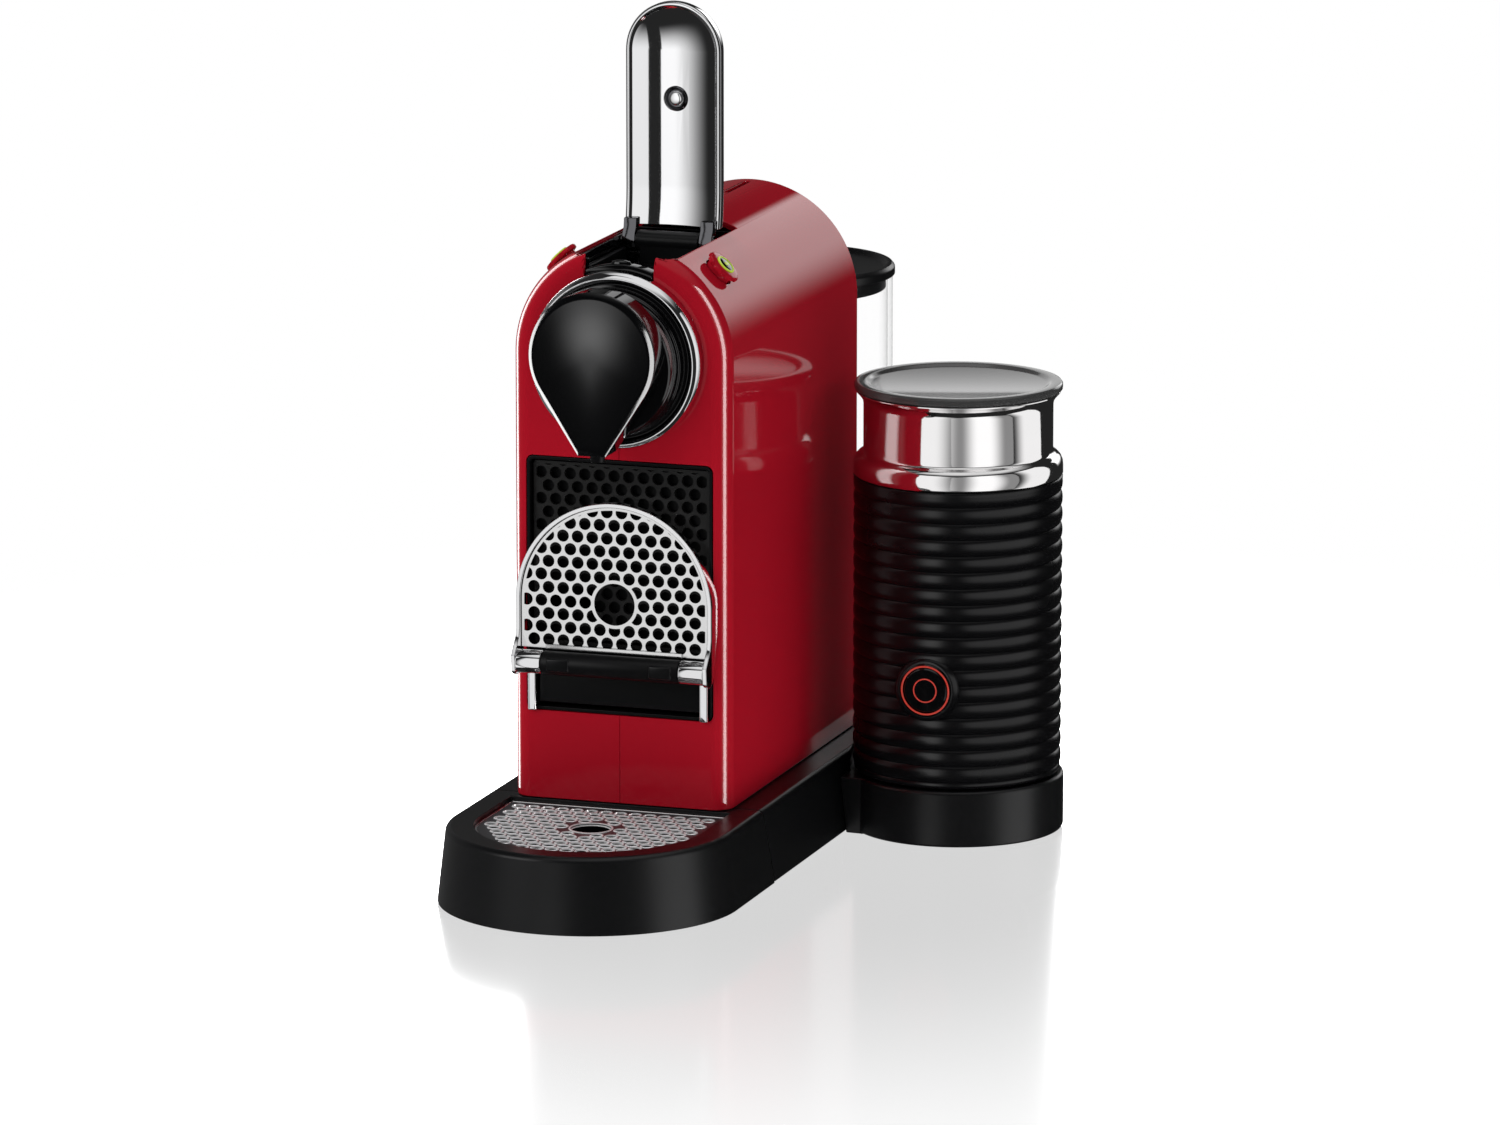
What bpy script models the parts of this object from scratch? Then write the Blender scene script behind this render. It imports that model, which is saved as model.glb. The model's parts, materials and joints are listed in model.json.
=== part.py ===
"""Pod coffee machine with a side milk frother, modelled as separate pieces.

Every piece is drawn in the machine's own frame, in metres: X = 0 is the body's
centre plane, Y = 0 its front face with +Y towards the back, and Z = 0 the
worktop. One empty then shifts the whole machine so that the middle of its
footprint is at the world's origin.
"""

import math

import bmesh
import bpy
from mathutils import Matrix, Vector

# ---------------------------------------------------------------- dimensions
GAP = 0.0003  # clearance between pieces that touch

# Body casing: a tall arch, extruded from front to back
BODY_HALF_WIDTH = 0.0477
BODY_TOP = 0.2700
BODY_BOTTOM = 0.0334
BODY_DEPTH = 0.1740
BODY_EDGE_RADIUS = 0.0080
WALL = 0.0025
ARCH_Z = BODY_TOP - BODY_HALF_WIDTH
ARCH_STEPS = 20

# Drawer opening in the front face
BAY_HALF_WIDTH = 0.0410
BAY_BOTTOM = 0.0710
BAY_TOP = 0.1795
BAY_CORNER = 0.0030
BAY_LINER_BACK = 0.0120

# Capsule slot in the top, and the lever that closes over it
SLOT_HALF_WIDTH = 0.0223
SLOT_BACK = 0.0860
SLOT_THROAT_HALF = 0.0155
SLOT_THROAT_Z = 0.2540
SLOT_SHOULDER_Z = 0.2640
SLOT_RIM_Z = 0.2630
SLOT_FLOOR_Z = 0.2520
LIP_RADIUS = 0.0396
SHAFT_HALF_WIDTH = 0.0195
SHAFT_FRONT = 0.0140
SHAFT_BACK = 0.0440
LEVER_PIVOT = Vector((0.0, 0.0645, 0.2610))
LEVER_HALF_WIDTH = 0.0210
LEVER_TOP = 0.3615
LEVER_FOOT = 0.2665
LEVER_FRONT = 0.0670
LEVER_INNER = 0.0735
LEVER_BACK = 0.0765
LEVER_SIDE = 0.0022
LEVER_AXLE_RADIUS = 0.0020
RIVET_Z = 0.3200
LEVER_CLOSE_ANGLE = math.radians(90)

# Coffee outlet: ring, stepped bezel and teardrop head
RING_OUTER = 0.0372
RING_INNER = 0.0333
RING_FRONT = -0.0080
BEZEL_FRONT = -0.0200
HEAD_RADIUS = 0.0273
HEAD_Z = 0.2285
HEAD_TIP_Z = 0.1875
HEAD_TIP_HALF = 0.0060
HEAD_FRONT = -0.0330
COVER_FRONT = -0.0362

# Coffee buttons on the shoulders of the arch
BUTTON_Y = 0.0300
BUTTON_TILT = math.radians(45)
BUTTON_RADIUS = 0.0080
BUTTON_STEM = 0.0060
BUTTON_PROUD = 0.0032
BUTTON_TRAVEL = 0.0015

# Capsule drawer, cup support and folding cup tray
DRAWER_HALF = 0.0387
DRAWER_BACK = 0.0840
CONTAINER_TOP = 0.1500
GRILLE_FRONT = 0.0030
GRILLE_BOTTOM = 0.0992
GRILLE_TOP = 0.1768
TRAY_PIVOT = Vector((0.0, -0.0095, 0.0937))
TRAY_CENTRE_Z = 0.1196
TRAY_OUTER = 0.0430
TRAY_INNER = 0.0412
TRAY_FRONT = -0.0080
TRAY_RIM_BACK = -0.0040
TRAY_PLATE_Y = (-0.0062, -0.0050)
TRAY_HOLE = 0.0089
HINGE_RADIUS = 0.0050
HINGE_BAR_HALF = 0.0300
HINGE_PIN_RADIUS = 0.0015
LEG_TOP = 0.0905

# Base, drip tray and drip grid
BASE_HEIGHT = 0.0330
BASE_LOW = 0.0015
BASE_HALF_LOW = 0.0639
BASE_HALF_TOP = 0.0601
BASE_FRONT_CENTRE = -0.0364
BASE_REAR_CENTRE = 0.2076
BASE_SPLIT = 0.0095
BASE_WALL = 0.0030
TRAY_POCKET = 0.0485
TRAY_CAVITY = 0.0455
GRID_TOP = 0.0313
GRID_THICK = 0.0014
GRID_HOLE = 0.0083
FOOT_HEIGHT = 0.0012
FOOT_RADIUS = 0.0080

# Water tank behind the body
TANK_Y = 0.2255
TANK_RADIUS = 0.0450
TANK_BOTTOM = 0.0366
TANK_TOP = 0.2200
TANK_WALL = 0.0022
TANK_LID_RADIUS = 0.0460
TANK_LID_TOP = 0.2253

# Milk frother beside the body
JUG = Vector((0.1036, 0.1407, 0.0))
STAND_RADIUS = 0.0458
STAND_TOP = 0.0250
BRIDGE_HALF = 0.0320
JUG_RADIUS = 0.0447
JUG_BOTTOM = 0.0254
HOUSING_TOP = 0.1540
NECK_RADIUS = 0.0404
RIM_RADIUS = 0.0435
RIM_TOP = 0.1905
LID_RADIUS = 0.0444
LID_TOP = 0.1942
VESSEL_FLOOR = 0.0620
JUG_BUTTON_Z = 0.0688
JUG_BUTTON_RADIUS = 0.0096
JUG_BUTTON_SEAT = 0.0116
JUG_BUTTON_FACE = 0.0462

# Footprint, which puts the world's origin at its middle
LEFT = -BASE_HALF_LOW
RIGHT = JUG.x + STAND_RADIUS
FRONT = BASE_FRONT_CENTRE - BASE_HALF_LOW
BACK = BASE_REAR_CENTRE + BASE_HALF_LOW
MACHINE_ORIGIN = Vector((-(LEFT + RIGHT) / 2, -(FRONT + BACK) / 2, 0.0))


# ------------------------------------------------------------------- helpers
def clear_scene():
    for obj in list(bpy.data.objects):
        bpy.data.objects.remove(obj, do_unlink=True)


def make_material(name, colour, roughness, metallic=0.0, alpha=1.0):
    mat = bpy.data.materials.new(name)
    mat.use_nodes = True
    shader = mat.node_tree.nodes["Principled BSDF"]
    shader.inputs["Base Color"].default_value = (*colour, 1.0)
    shader.inputs["Roughness"].default_value = roughness
    shader.inputs["Metallic"].default_value = metallic
    shader.inputs["Alpha"].default_value = alpha
    return mat


def link_object(name, bm, mat, pivot):
    """An object under the machine's empty, with its origin at pivot."""
    bmesh.ops.recalc_face_normals(bm, faces=bm.faces)
    bmesh.ops.translate(bm, verts=bm.verts, vec=-Vector(pivot))
    mesh = bpy.data.meshes.new(name)
    bm.to_mesh(mesh)
    bm.free()
    if mat:
        mesh.materials.append(mat)
    obj = bpy.data.objects.new(name, mesh)
    bpy.context.scene.collection.objects.link(obj)
    obj.parent = MACHINE
    obj.location = pivot
    return obj


def node(name, bm, mat, pivot=(0, 0, 0)):
    return link_object(name, bm, mat, pivot)


def combine(obj, bm, operation):
    """Cuts bm from obj, or joins it on, with a Boolean whose helper stays hidden."""
    helper_name = f"{obj.name}_helper_{len(obj.modifiers)}"
    helper = link_object(helper_name, bm, None, obj.location)
    helper.hide_render = True
    helper.display_type = "WIRE"
    modifier = obj.modifiers.new(operation.lower(), "BOOLEAN")
    modifier.operation = operation
    modifier.solver = "EXACT"
    modifier.object = helper


def cut(obj, *shapes):
    for bm in shapes:
        combine(obj, bm, "DIFFERENCE")


def join(obj, *shapes):
    for bm in shapes:
        combine(obj, bm, "UNION")


def keep(obj, bm):
    combine(obj, bm, "INTERSECT")


def smooth(obj, angle=math.radians(35)):
    obj.data.shade_smooth()
    obj.data.set_sharp_from_angle(angle=angle)


def lofted(loops):
    """A closed body through equal loops of points, capped at both ends."""
    bm = bmesh.new()
    rings = [[bm.verts.new(p) for p in loop] for loop in loops]
    count = len(rings[0])
    for low, high in zip(rings, rings[1:]):
        for i in range(count):
            j = (i + 1) % count
            bm.faces.new((low[i], low[j], high[j], high[i]))
    bm.faces.new(rings[0])
    bm.faces.new(rings[-1])
    return bm


def prism(outline, low, high, axis="Z"):
    """A flat outline of (a, b) pairs, extruded from low to high along an axis."""
    if axis == "Z":
        loops = [[(a, b, h) for a, b in outline] for h in (low, high)]
    elif axis == "Y":
        loops = [[(a, h, b) for a, b in outline] for h in (low, high)]
    else:
        loops = [[(h, a, b) for a, b in outline] for h in (low, high)]
    return lofted(loops)


def block(x, y, z):
    """A box from (low, high) pairs along X, Y and Z."""
    corners = [(x[0], y[0]), (x[1], y[0]), (x[1], y[1]), (x[0], y[1])]
    return prism(corners, z[0], z[1])


def turned(profile, centre, segments=32, axis="Z"):
    """A body turned from a closed profile of (radius, height) pairs."""
    bm = bmesh.new()
    points = [bm.verts.new((r, 0, h)) for r, h in profile]
    for i, first in enumerate(points):
        second = points[(i + 1) % len(points)]
        if first.co.x > 0 or second.co.x > 0:
            bm.edges.new((first, second))
    bmesh.ops.spin(
        bm,
        geom=bm.verts[:] + bm.edges[:],
        cent=(0, 0, 0),
        axis=(0, 0, 1),
        angle=math.tau,
        steps=segments,
        use_merge=True,
    )
    bmesh.ops.remove_doubles(bm, verts=bm.verts, dist=1e-6)
    if axis == "Y":  # height then runs towards -Y, the front
        bmesh.ops.rotate(bm, verts=bm.verts, matrix=Matrix.Rotation(math.pi / 2, 3, "X"))
    elif axis == "X":
        bmesh.ops.rotate(bm, verts=bm.verts, matrix=Matrix.Rotation(math.pi / 2, 3, "Y"))
    bmesh.ops.translate(bm, verts=bm.verts, vec=centre)
    return bm


def cylinder(radius, low, high, centre=(0, 0, 0), segments=24, axis="Z"):
    return turned([(0, low), (radius, low), (radius, high), (0, high)], centre, segments, axis)


def bar_along_x(radius, half, pivot, segments=20):
    return cylinder(radius, -half, half, pivot, segments, "X")


def arc(centre, radius, start, end, steps):
    """Points on an arc, with angles in degrees."""
    points = []
    for i in range(steps + 1):
        angle = math.radians(start + (end - start) * i / steps)
        points.append((centre[0] + radius * math.cos(angle), centre[1] + radius * math.sin(angle)))
    return points


def rounded_rectangle(half, low, high, radius, steps=3):
    corners = (
        ((half - radius, high - radius), 0),
        ((-half + radius, high - radius), 90),
        ((-half + radius, low + radius), 180),
        ((half - radius, low + radius), 270),
    )
    points = []
    for centre, start in corners:
        points += arc(centre, radius, start, start + 90, steps)
    return points


def arch_outline(inset, bottom):
    """The body's section: straight sides under a half circle, as (x, z) pairs."""
    radius = BODY_HALF_WIDTH - inset
    return [(radius, bottom)] + arc((0, ARCH_Z), radius, 0, 180, ARCH_STEPS) + [(-radius, bottom)]


def arch_body(inset, edge, bottom, front, back, steps=4):
    """The arch extruded along Y, with a rounded front edge."""
    loops = []
    for i in range(steps + 1):
        angle = math.radians(90 * i / steps)
        section = arch_outline(inset + edge * (1 - math.sin(angle)), bottom)
        y = front + edge * (1 - math.cos(angle))
        loops.append([(x, y, z) for x, z in section])
    loops.append([(x, back, z) for x, z in arch_outline(inset, bottom)])
    return lofted(loops)


def d_outline(radius, centre_y, back_y, steps=24):
    """A half circle facing the front, with straight sides to back_y."""
    return [(radius, back_y)] + arc((0, centre_y), radius, 0, -180, steps) + [(-radius, back_y)]


def stadium_outline(radius, front_y, centre_y, steps=24):
    """Straight sides from front_y to a half circle facing the back."""
    return [(-radius, front_y), (radius, front_y)] + arc((0, centre_y), radius, 0, 180, steps)


def drafted(outline_of, low, high, grow=0.0):
    """A base-shaped body whose sides lean inwards as they rise."""
    loops = []
    for z in (low, high):
        share = z / BASE_HEIGHT
        half = BASE_HALF_LOW + (BASE_HALF_TOP - BASE_HALF_LOW) * share + grow
        loops.append([(x, y, z) for x, y in outline_of(half)])
    return lofted(loops)


def half_space(side):
    """Everything on one side of the centre plane, less half a gap."""
    reach = 0.2
    span = (GAP / 2, reach) if side > 0 else (-reach, -GAP / 2)
    return block(span, (-reach, 0.4), (0, 0.4))


def shoulder_button_frame(side):
    """Turns Z to the arch's outward normal at a coffee button."""
    out = Matrix.Rotation(side * BUTTON_TILT, 4, "Y")
    centre = Matrix.Translation((0, BUTTON_Y, ARCH_Z))
    return centre @ out


# ---------------------------------------------------------------- body casing
def casing_half(name, side):
    obj = node(name, arch_body(0, BODY_EDGE_RADIUS, BODY_BOTTOM, 0, BODY_DEPTH), RED)
    inner = arch_body(
        WALL, BODY_EDGE_RADIUS - WALL, BODY_BOTTOM - 0.01, WALL, BODY_DEPTH + 0.01
    )
    bay = prism(
        rounded_rectangle(BAY_HALF_WIDTH, BAY_BOTTOM, BAY_TOP, BAY_CORNER), -0.01, 0.01, "Y"
    )
    slot = block((-SLOT_HALF_WIDTH, SLOT_HALF_WIDTH), (0.004, SLOT_BACK), (0.24, 0.28))
    throat = prism(slot_throat(), -0.01, 0.012, "Y")
    ridge_vent = block((-0.0012, 0.0012), (0.1375, 0.1680), (0.26, 0.28))
    ring_seat = cylinder(RING_OUTER - 0.0022, -0.02, 0.01, (0, 0, ARCH_Z), 32, "Y")
    stem_hole = cylinder(BUTTON_STEM + 0.0004, 0.03, 0.06, segments=20)
    bmesh.ops.transform(stem_hole, matrix=shoulder_button_frame(side), verts=stem_hole.verts)
    cut(obj, inner, bay, slot, throat, ridge_vent, ring_seat, stem_hole)
    keep(obj, half_space(side))
    smooth(obj)


def slot_throat():
    """The slot's section at the front face: wide above, narrow down to the ring."""
    right = [
        (SLOT_THROAT_HALF, ARCH_Z + 0.0250),
        (SLOT_THROAT_HALF, SLOT_THROAT_Z),
        (SLOT_HALF_WIDTH, SLOT_SHOULDER_Z),
        (SLOT_HALF_WIDTH, BODY_TOP + 0.0100),
    ]
    return right + [(-x, z) for x, z in reversed(right)]


def lip_outline(inner, outer, steps=8):
    """A band over the outlet ring, as wide as the slot's throat, as (x, z) pairs."""
    half = SLOT_THROAT_HALF - GAP
    spans = []
    for radius in (inner, outer):
        tilt = math.degrees(math.asin(half / radius))
        spans.append(arc((0, ARCH_Z), radius, 90 - tilt, 90 + tilt, steps))
    return spans[0] + spans[1][::-1]


def back_cover():
    front = BODY_DEPTH + GAP
    obj = node("back_cover", arch_body(0, 0, BODY_BOTTOM, front, front + 0.0022, 1), MATTE_BLACK)
    smooth(obj)
    for i, side in enumerate((-1, 1)):
        head = front + 0.0022 + GAP
        screw = cylinder(0.0032, -head - 0.0014, -head, (side * 0.0330, 0, 0.0600), 16, "Y")
        node(f"back_screw_{i + 1}", screw, STEEL)


def capsule_slot_liner():
    """The black funnel in the top: it guides a capsule into the shaft below."""
    wide = SLOT_HALF_WIDTH - GAP
    obj = node(
        "capsule_slot_liner",
        block((-wide, wide), (0.0046, SLOT_BACK - GAP), (0.2440, SLOT_RIM_Z)),
        MATTE_BLACK,
    )
    hollow = wide - 0.0018
    cut(
        obj,
        block((-hollow, hollow), (0.0060, 0.0838), (SLOT_FLOOR_Z, 0.28)),
        prism(lip_outline(LIP_RADIUS - 0.0010, 0.0600), 0.0, 0.0070, "Y"),
        block(
            (-SHAFT_HALF_WIDTH, SHAFT_HALF_WIDTH), (SHAFT_FRONT, SHAFT_BACK), (0.23, 0.26)
        ),
    )
    join(
        obj,
        prism(lip_outline(RING_OUTER - 0.0016, LIP_RADIUS), 0.0006, 0.0065, "Y"),
        block((-0.0120, 0.0120), (0.0610, 0.0680), (SLOT_FLOOR_Z - 0.001, LEVER_PIVOT.z)),
        bar_along_x(0.0042, 0.0138, LEVER_PIVOT),
    )
    cut(obj, bar_along_x(LEVER_AXLE_RADIUS + GAP, 0.03, LEVER_PIVOT, 12))


# ------------------------------------------------------------------- outlet
def outlet_ring():
    profile = [
        (RING_INNER, -0.0040),
        (RING_OUTER - 0.0025, -0.0040),
        (RING_OUTER - 0.0025, GAP),
        (RING_OUTER, GAP),
        (RING_OUTER, 0.0050),
        (RING_OUTER - 0.0012, -RING_FRONT),
        (RING_INNER + 0.0010, -RING_FRONT),
        (RING_INNER, 0.0066),
    ]
    smooth(node("outlet_ring", turned(profile, (0, 0, ARCH_Z), 40, "Y"), CHROME))


def outlet_bezel():
    rim = RING_INNER - GAP
    profile = [
        (0.0270, -0.0030),
        (rim, -0.0030),
        (rim, 0.0060),
        (0.0310, 0.0072),
        (0.0296, -BEZEL_FRONT - 0.0010),
        (0.0286, -BEZEL_FRONT),
        (0, -BEZEL_FRONT),
        (0, 0.0165),
        (0.0270, 0.0165),
    ]
    smooth(node("outlet_bezel", turned(profile, (0, 0, ARCH_Z), 40, "Y"), GLOSS_BLACK))


def teardrop(inset, steps=20):
    """The outlet's outline: a circle drawn down to a narrow spout, as (x, z) pairs."""
    radius = HEAD_RADIUS - inset
    half = HEAD_TIP_HALF - inset * 0.6
    tip_z = HEAD_TIP_Z + inset
    reach = math.hypot(half, HEAD_Z - tip_z)
    lean = math.degrees(math.acos(radius / reach) + math.atan2(HEAD_Z - tip_z, -half))
    start = lean - 180  # the tangent from the spout's corner meets the circle here
    end = 180 - start
    return [(half, tip_z)] + arc((0, HEAD_Z), radius, start, end, steps) + [(-half, tip_z)]


def outlet_head():
    back = BEZEL_FRONT - GAP
    loops = [[(x, y, z) for x, z in teardrop(inset)] for y, inset in
             ((back, 0.0012), (back - 0.0015, 0.0), (HEAD_FRONT, 0.0))]
    obj = node("outlet_head", lofted(loops), GLOSS_BLACK)
    nozzle_bore = cylinder(0.0034, 0.17, 0.20, (0, -0.0265, 0), 16)
    cut(obj, nozzle_bore)
    smooth(obj)
    spout = [
        (0.0014, HEAD_TIP_Z - 0.0035),
        (0.0031, HEAD_TIP_Z - 0.0035),
        (0.0031, HEAD_TIP_Z + 0.0110),
        (0.0014, HEAD_TIP_Z + 0.0110),
    ]
    smooth(node("coffee_spout", turned(spout, (0, -0.0265, 0), 16), MATTE_BLACK))
    front = HEAD_FRONT - GAP
    loops = [[(x, y, z) for x, z in teardrop(inset)] for y, inset in
             ((front, 0.0), (front - 0.0013, 0.0004), (COVER_FRONT, 0.0028))]
    smooth(node("outlet_cover", lofted(loops), GLOSS_BLACK))


# --------------------------------------------------------- brewing and water
def chassis():
    floor_z = BODY_BOTTOM + GAP
    obj = node(
        "chassis", block((-0.0445, 0.0445), (0.0120, 0.1720), (floor_z, floor_z + 0.0026)), MATTE_BLACK
    )
    join(obj, block((-0.0400, 0.0400), (0.0862, 0.0888), (floor_z, 0.2350)))


def brew_unit():
    half = 0.0260
    housing = node(
        "brew_housing", block((-half, half), (0.0080, 0.0858), (0.1980, 0.2430)), GREY_PLASTIC
    )
    cut(
        housing,
        block((-SHAFT_HALF_WIDTH, SHAFT_HALF_WIDTH), (SHAFT_FRONT, SHAFT_BACK), (0.19, 0.25)),
        cylinder(0.0184, -0.0800, -0.0300, (0, 0, ARCH_Z - 0.0015), 24, "Y"),
    )
    plate_y = SHAFT_FRONT + GAP
    plate = cylinder(0.0160, -plate_y - 0.0024, -plate_y, (0, 0, ARCH_Z - 0.0015), 24, "Y")
    smooth(node("extraction_plate", plate, STEEL))
    front = 0.0460
    back = 0.0640
    cage = [
        (0, -back),
        (0.0180, -back),
        (0.0180, -front),
        (0.0156, -front),
        (0.0140, -back + 0.0030),
        (0, -back + 0.0030),
    ]
    centre = (0, 0, ARCH_Z - 0.0015)
    pivot = (0, back, centre[2])
    smooth(node("capsule_cage", turned(cage, centre, 24, "Y"), GREY_PLASTIC, pivot))


def heater_and_pump():
    node("thermoblock", block((-0.0220, 0.0220), (0.0950, 0.1480), (0.1700, 0.2200)), ALUMINIUM)
    pump_z = 0.0960
    body = node(
        "pump_body", block((-0.0180, 0.0180), (0.1080, 0.1440), (pump_z - 0.019, pump_z + 0.019)), MATTE_BLACK
    )
    join(body, cylinder(0.0075, -0.1620, -0.1000, (0, 0, pump_z), 16, "Y"))
    mount = [(0.0078, -0.0036), (0.0150, -0.0036), (0.0150, 0.0036), (0.0078, 0.0036)]
    smooth(node("pump_mount", turned(mount, (0, 0.1530, pump_z), 20, "Y"), RUBBER))
    smooth(node("flow_meter", cylinder(0.0110, 0.0480, 0.0620, (-0.0260, 0.1560, 0), 20), GREY_PLASTIC))
    node("control_board", block((0.0385, 0.0401), (0.0960, 0.1600), (0.0900, 0.1700)), BOARD_GREEN)


def water_hose():
    """From the pump's outlet up to the heater's inlet, on one smooth curve."""
    start = Vector((0, 0.0985, 0.0960))
    end = Vector((0, 0.1100, 0.1690))
    pull_out = Vector((0, -0.0100, 0.0))
    pull_down = Vector((0, 0.0, -0.0300))
    curve = bpy.data.curves.new("water_hose", "CURVE")
    curve.dimensions = "3D"
    curve.bevel_depth = 0.0025
    curve.bevel_resolution = 2
    curve.use_fill_caps = True
    spline = curve.splines.new("POLY")
    steps = 12
    spline.points.add(steps)
    for i in range(steps + 1):
        t = i / steps
        u = 1 - t
        p = (
            start * u**3
            + (start + pull_out) * 3 * u**2 * t
            + (end + pull_down) * 3 * u * t**2
            + end * t**3
        )
        spline.points[i].co = (*p, 1)
    curve.materials.append(RUBBER)
    obj = bpy.data.objects.new("water_hose", curve)
    bpy.context.scene.collection.objects.link(obj)
    obj.parent = MACHINE


# ------------------------------------------------------------------- buttons
def coffee_button(name, side):
    """A round cap on a stem, pressed straight into the arch's shoulder."""
    skin = BODY_HALF_WIDTH
    profile = [
        (0, skin - 0.0070),
        (BUTTON_STEM, skin - 0.0070),
        (BUTTON_STEM, skin + 0.0020),
        (BUTTON_RADIUS, skin + 0.0020),
        (BUTTON_RADIUS, skin + 0.0020 + BUTTON_PROUD - 0.0006),
        (BUTTON_RADIUS - 0.0008, skin + 0.0020 + BUTTON_PROUD),
        (0, skin + 0.0020 + BUTTON_PROUD),
    ]
    bm = turned(profile, (0, 0, 0), 24)
    frame = shoulder_button_frame(side)
    bmesh.ops.transform(bm, matrix=frame, verts=bm.verts)
    pivot = frame @ Vector((0, 0, skin))
    smooth(node(name, bm, RED, pivot))


# ---------------------------------------------------------------------- lever
def lever_outline(inset, foot):
    """A flat bar with a half-round end, as (x, z) pairs."""
    half = LEVER_HALF_WIDTH - inset
    centre_z = LEVER_TOP - LEVER_HALF_WIDTH
    return [(half, foot)] + arc((0, centre_z), half, 0, 180, 16) + [(-half, foot)]


def lever():
    edge = 0.0020
    loops = [[(x, y, z) for x, z in lever_outline(inset, LEVER_FOOT)] for y, inset in
             ((LEVER_FRONT, 0.0), (LEVER_BACK - edge, 0.0), (LEVER_BACK, edge))]
    obj = node("lever", lofted(loops), CHROME, LEVER_PIVOT)
    cut(
        obj,
        prism(lever_outline(LEVER_SIDE, LEVER_FOOT + 0.0022), 0.05, LEVER_INNER, "Y"),
        cylinder(0.0052, -0.0752, -0.0700, (0, 0, RIVET_Z), 20, "Y"),
    )
    for side in (-1, 1):
        inner, outer = sorted((side * 0.0142, side * 0.0198))
        lug = [(0.0670, 0.2600), (0.0710, 0.2675), (LEVER_FRONT, 0.2720)] + arc(
            (LEVER_PIVOT.y, LEVER_PIVOT.z), 0.0042, 150, 320, 8
        )
        join(obj, prism(lug, inner, outer, "X"))
    cut(obj, bar_along_x(LEVER_AXLE_RADIUS + GAP, 0.03, LEVER_PIVOT, 12))
    smooth(obj)
    rivet_face = LEVER_INNER - 0.0010
    rivet = cylinder(0.0029, -0.0749, -rivet_face, (0, 0, RIVET_Z), 20, "Y")
    smooth(node("lever_rivet", rivet, CHROME, LEVER_PIVOT))
    smooth(node("lever_axle", bar_along_x(LEVER_AXLE_RADIUS, 0.0215, LEVER_PIVOT, 12), STEEL))


# --------------------------------------------------------- drawer and cup tray
def drawer_bay_liner():
    outline = rounded_rectangle(
        BAY_HALF_WIDTH - GAP, BAY_BOTTOM + GAP, BAY_TOP - GAP, BAY_CORNER
    )
    inner = rounded_rectangle(
        BAY_HALF_WIDTH - 0.0017, BAY_BOTTOM + 0.0017, BAY_TOP - 0.0017, BAY_CORNER / 2
    )
    obj = node("drawer_bay_liner", prism(outline, 0.0002, BAY_LINER_BACK, "Y"), MATTE_BLACK)
    cut(obj, prism(inner, -0.01, 0.04, "Y"))


def capsule_drawer():
    low = BAY_BOTTOM + 0.0023
    box = node(
        "capsule_container",
        block((-DRAWER_HALF, DRAWER_HALF), (0.0102, DRAWER_BACK), (low, CONTAINER_TOP)),
        MATTE_BLACK,
    )
    wall = 0.0018
    inside = DRAWER_HALF - wall
    cut(box, block((-inside, inside), (0.0120, DRAWER_BACK - wall), (low + wall, 0.2)))
    grille = block(
        (-DRAWER_HALF, DRAWER_HALF), (GRILLE_FRONT, GRILLE_FRONT + 0.0024), (GRILLE_BOTTOM, GRILLE_TOP)
    )
    node("drawer_grille", grille, MATTE_BLACK)
    cup_support(low)


def cup_support(low):
    top = GRILLE_BOTTOM - GAP
    web_back = -0.0020
    obj = node(
        "cup_support", block((-DRAWER_HALF, DRAWER_HALF), (0.0078, 0.0099), (low, top)), MATTE_BLACK
    )
    join(obj, block((-DRAWER_HALF, DRAWER_HALF), (web_back, 0.0079), (LEG_TOP + 0.0005, top)))
    for side in (-1, 1):
        inner, outer = sorted((side * 0.0363, side * DRAWER_HALF))
        join(obj, block((inner, outer), (-0.0005, 0.0080), (low, top - 0.001)))
    join(
        obj,
        block((-0.0290, 0.0290), (TRAY_PIVOT.y, web_back + 0.001), (0.0912, 0.0962)),
        bar_along_x(HINGE_RADIUS, HINGE_BAR_HALF, TRAY_PIVOT),
    )
    cut(obj, bar_along_x(HINGE_PIN_RADIUS + GAP, 0.05, TRAY_PIVOT, 12))
    for name, side in (("trim_leg_left", -1), ("trim_leg_right", 1)):
        inner, outer = sorted((side * 0.0361, side * 0.0396))
        node(name, block((inner, outer), (-0.0034, -0.0008), (BAY_BOTTOM + 0.0004, LEG_TOP)), CHROME)
    smooth(node("tray_hinge_pin", bar_along_x(HINGE_PIN_RADIUS, 0.0405, TRAY_PIVOT, 12), STEEL))


def tray_outline(radius, bottom, steps=24):
    return [(radius, bottom)] + arc((0, TRAY_CENTRE_Z), radius, 0, 180, steps) + [(-radius, bottom)]


def tray_side_outline():
    """The rim's (y, z) outline: shallow round the arch and deep at the hinge."""
    deep = 0.0088
    hinge_end = arc((TRAY_PIVOT.y, TRAY_PIVOT.z), deep, 0, -140, 8)
    top = TRAY_CENTRE_Z + TRAY_OUTER + 0.01
    return hinge_end + [
        (TRAY_FRONT - 0.0060, TRAY_PIVOT.z + 0.0040),
        (TRAY_FRONT, TRAY_PIVOT.z + 0.0120),
        (TRAY_FRONT, top),
        (TRAY_RIM_BACK, top),
        (TRAY_RIM_BACK, 0.1420),
        (TRAY_RIM_BACK + 0.0010, 0.1330),
        (TRAY_PIVOT.y + deep, 0.1240),
    ]


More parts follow.
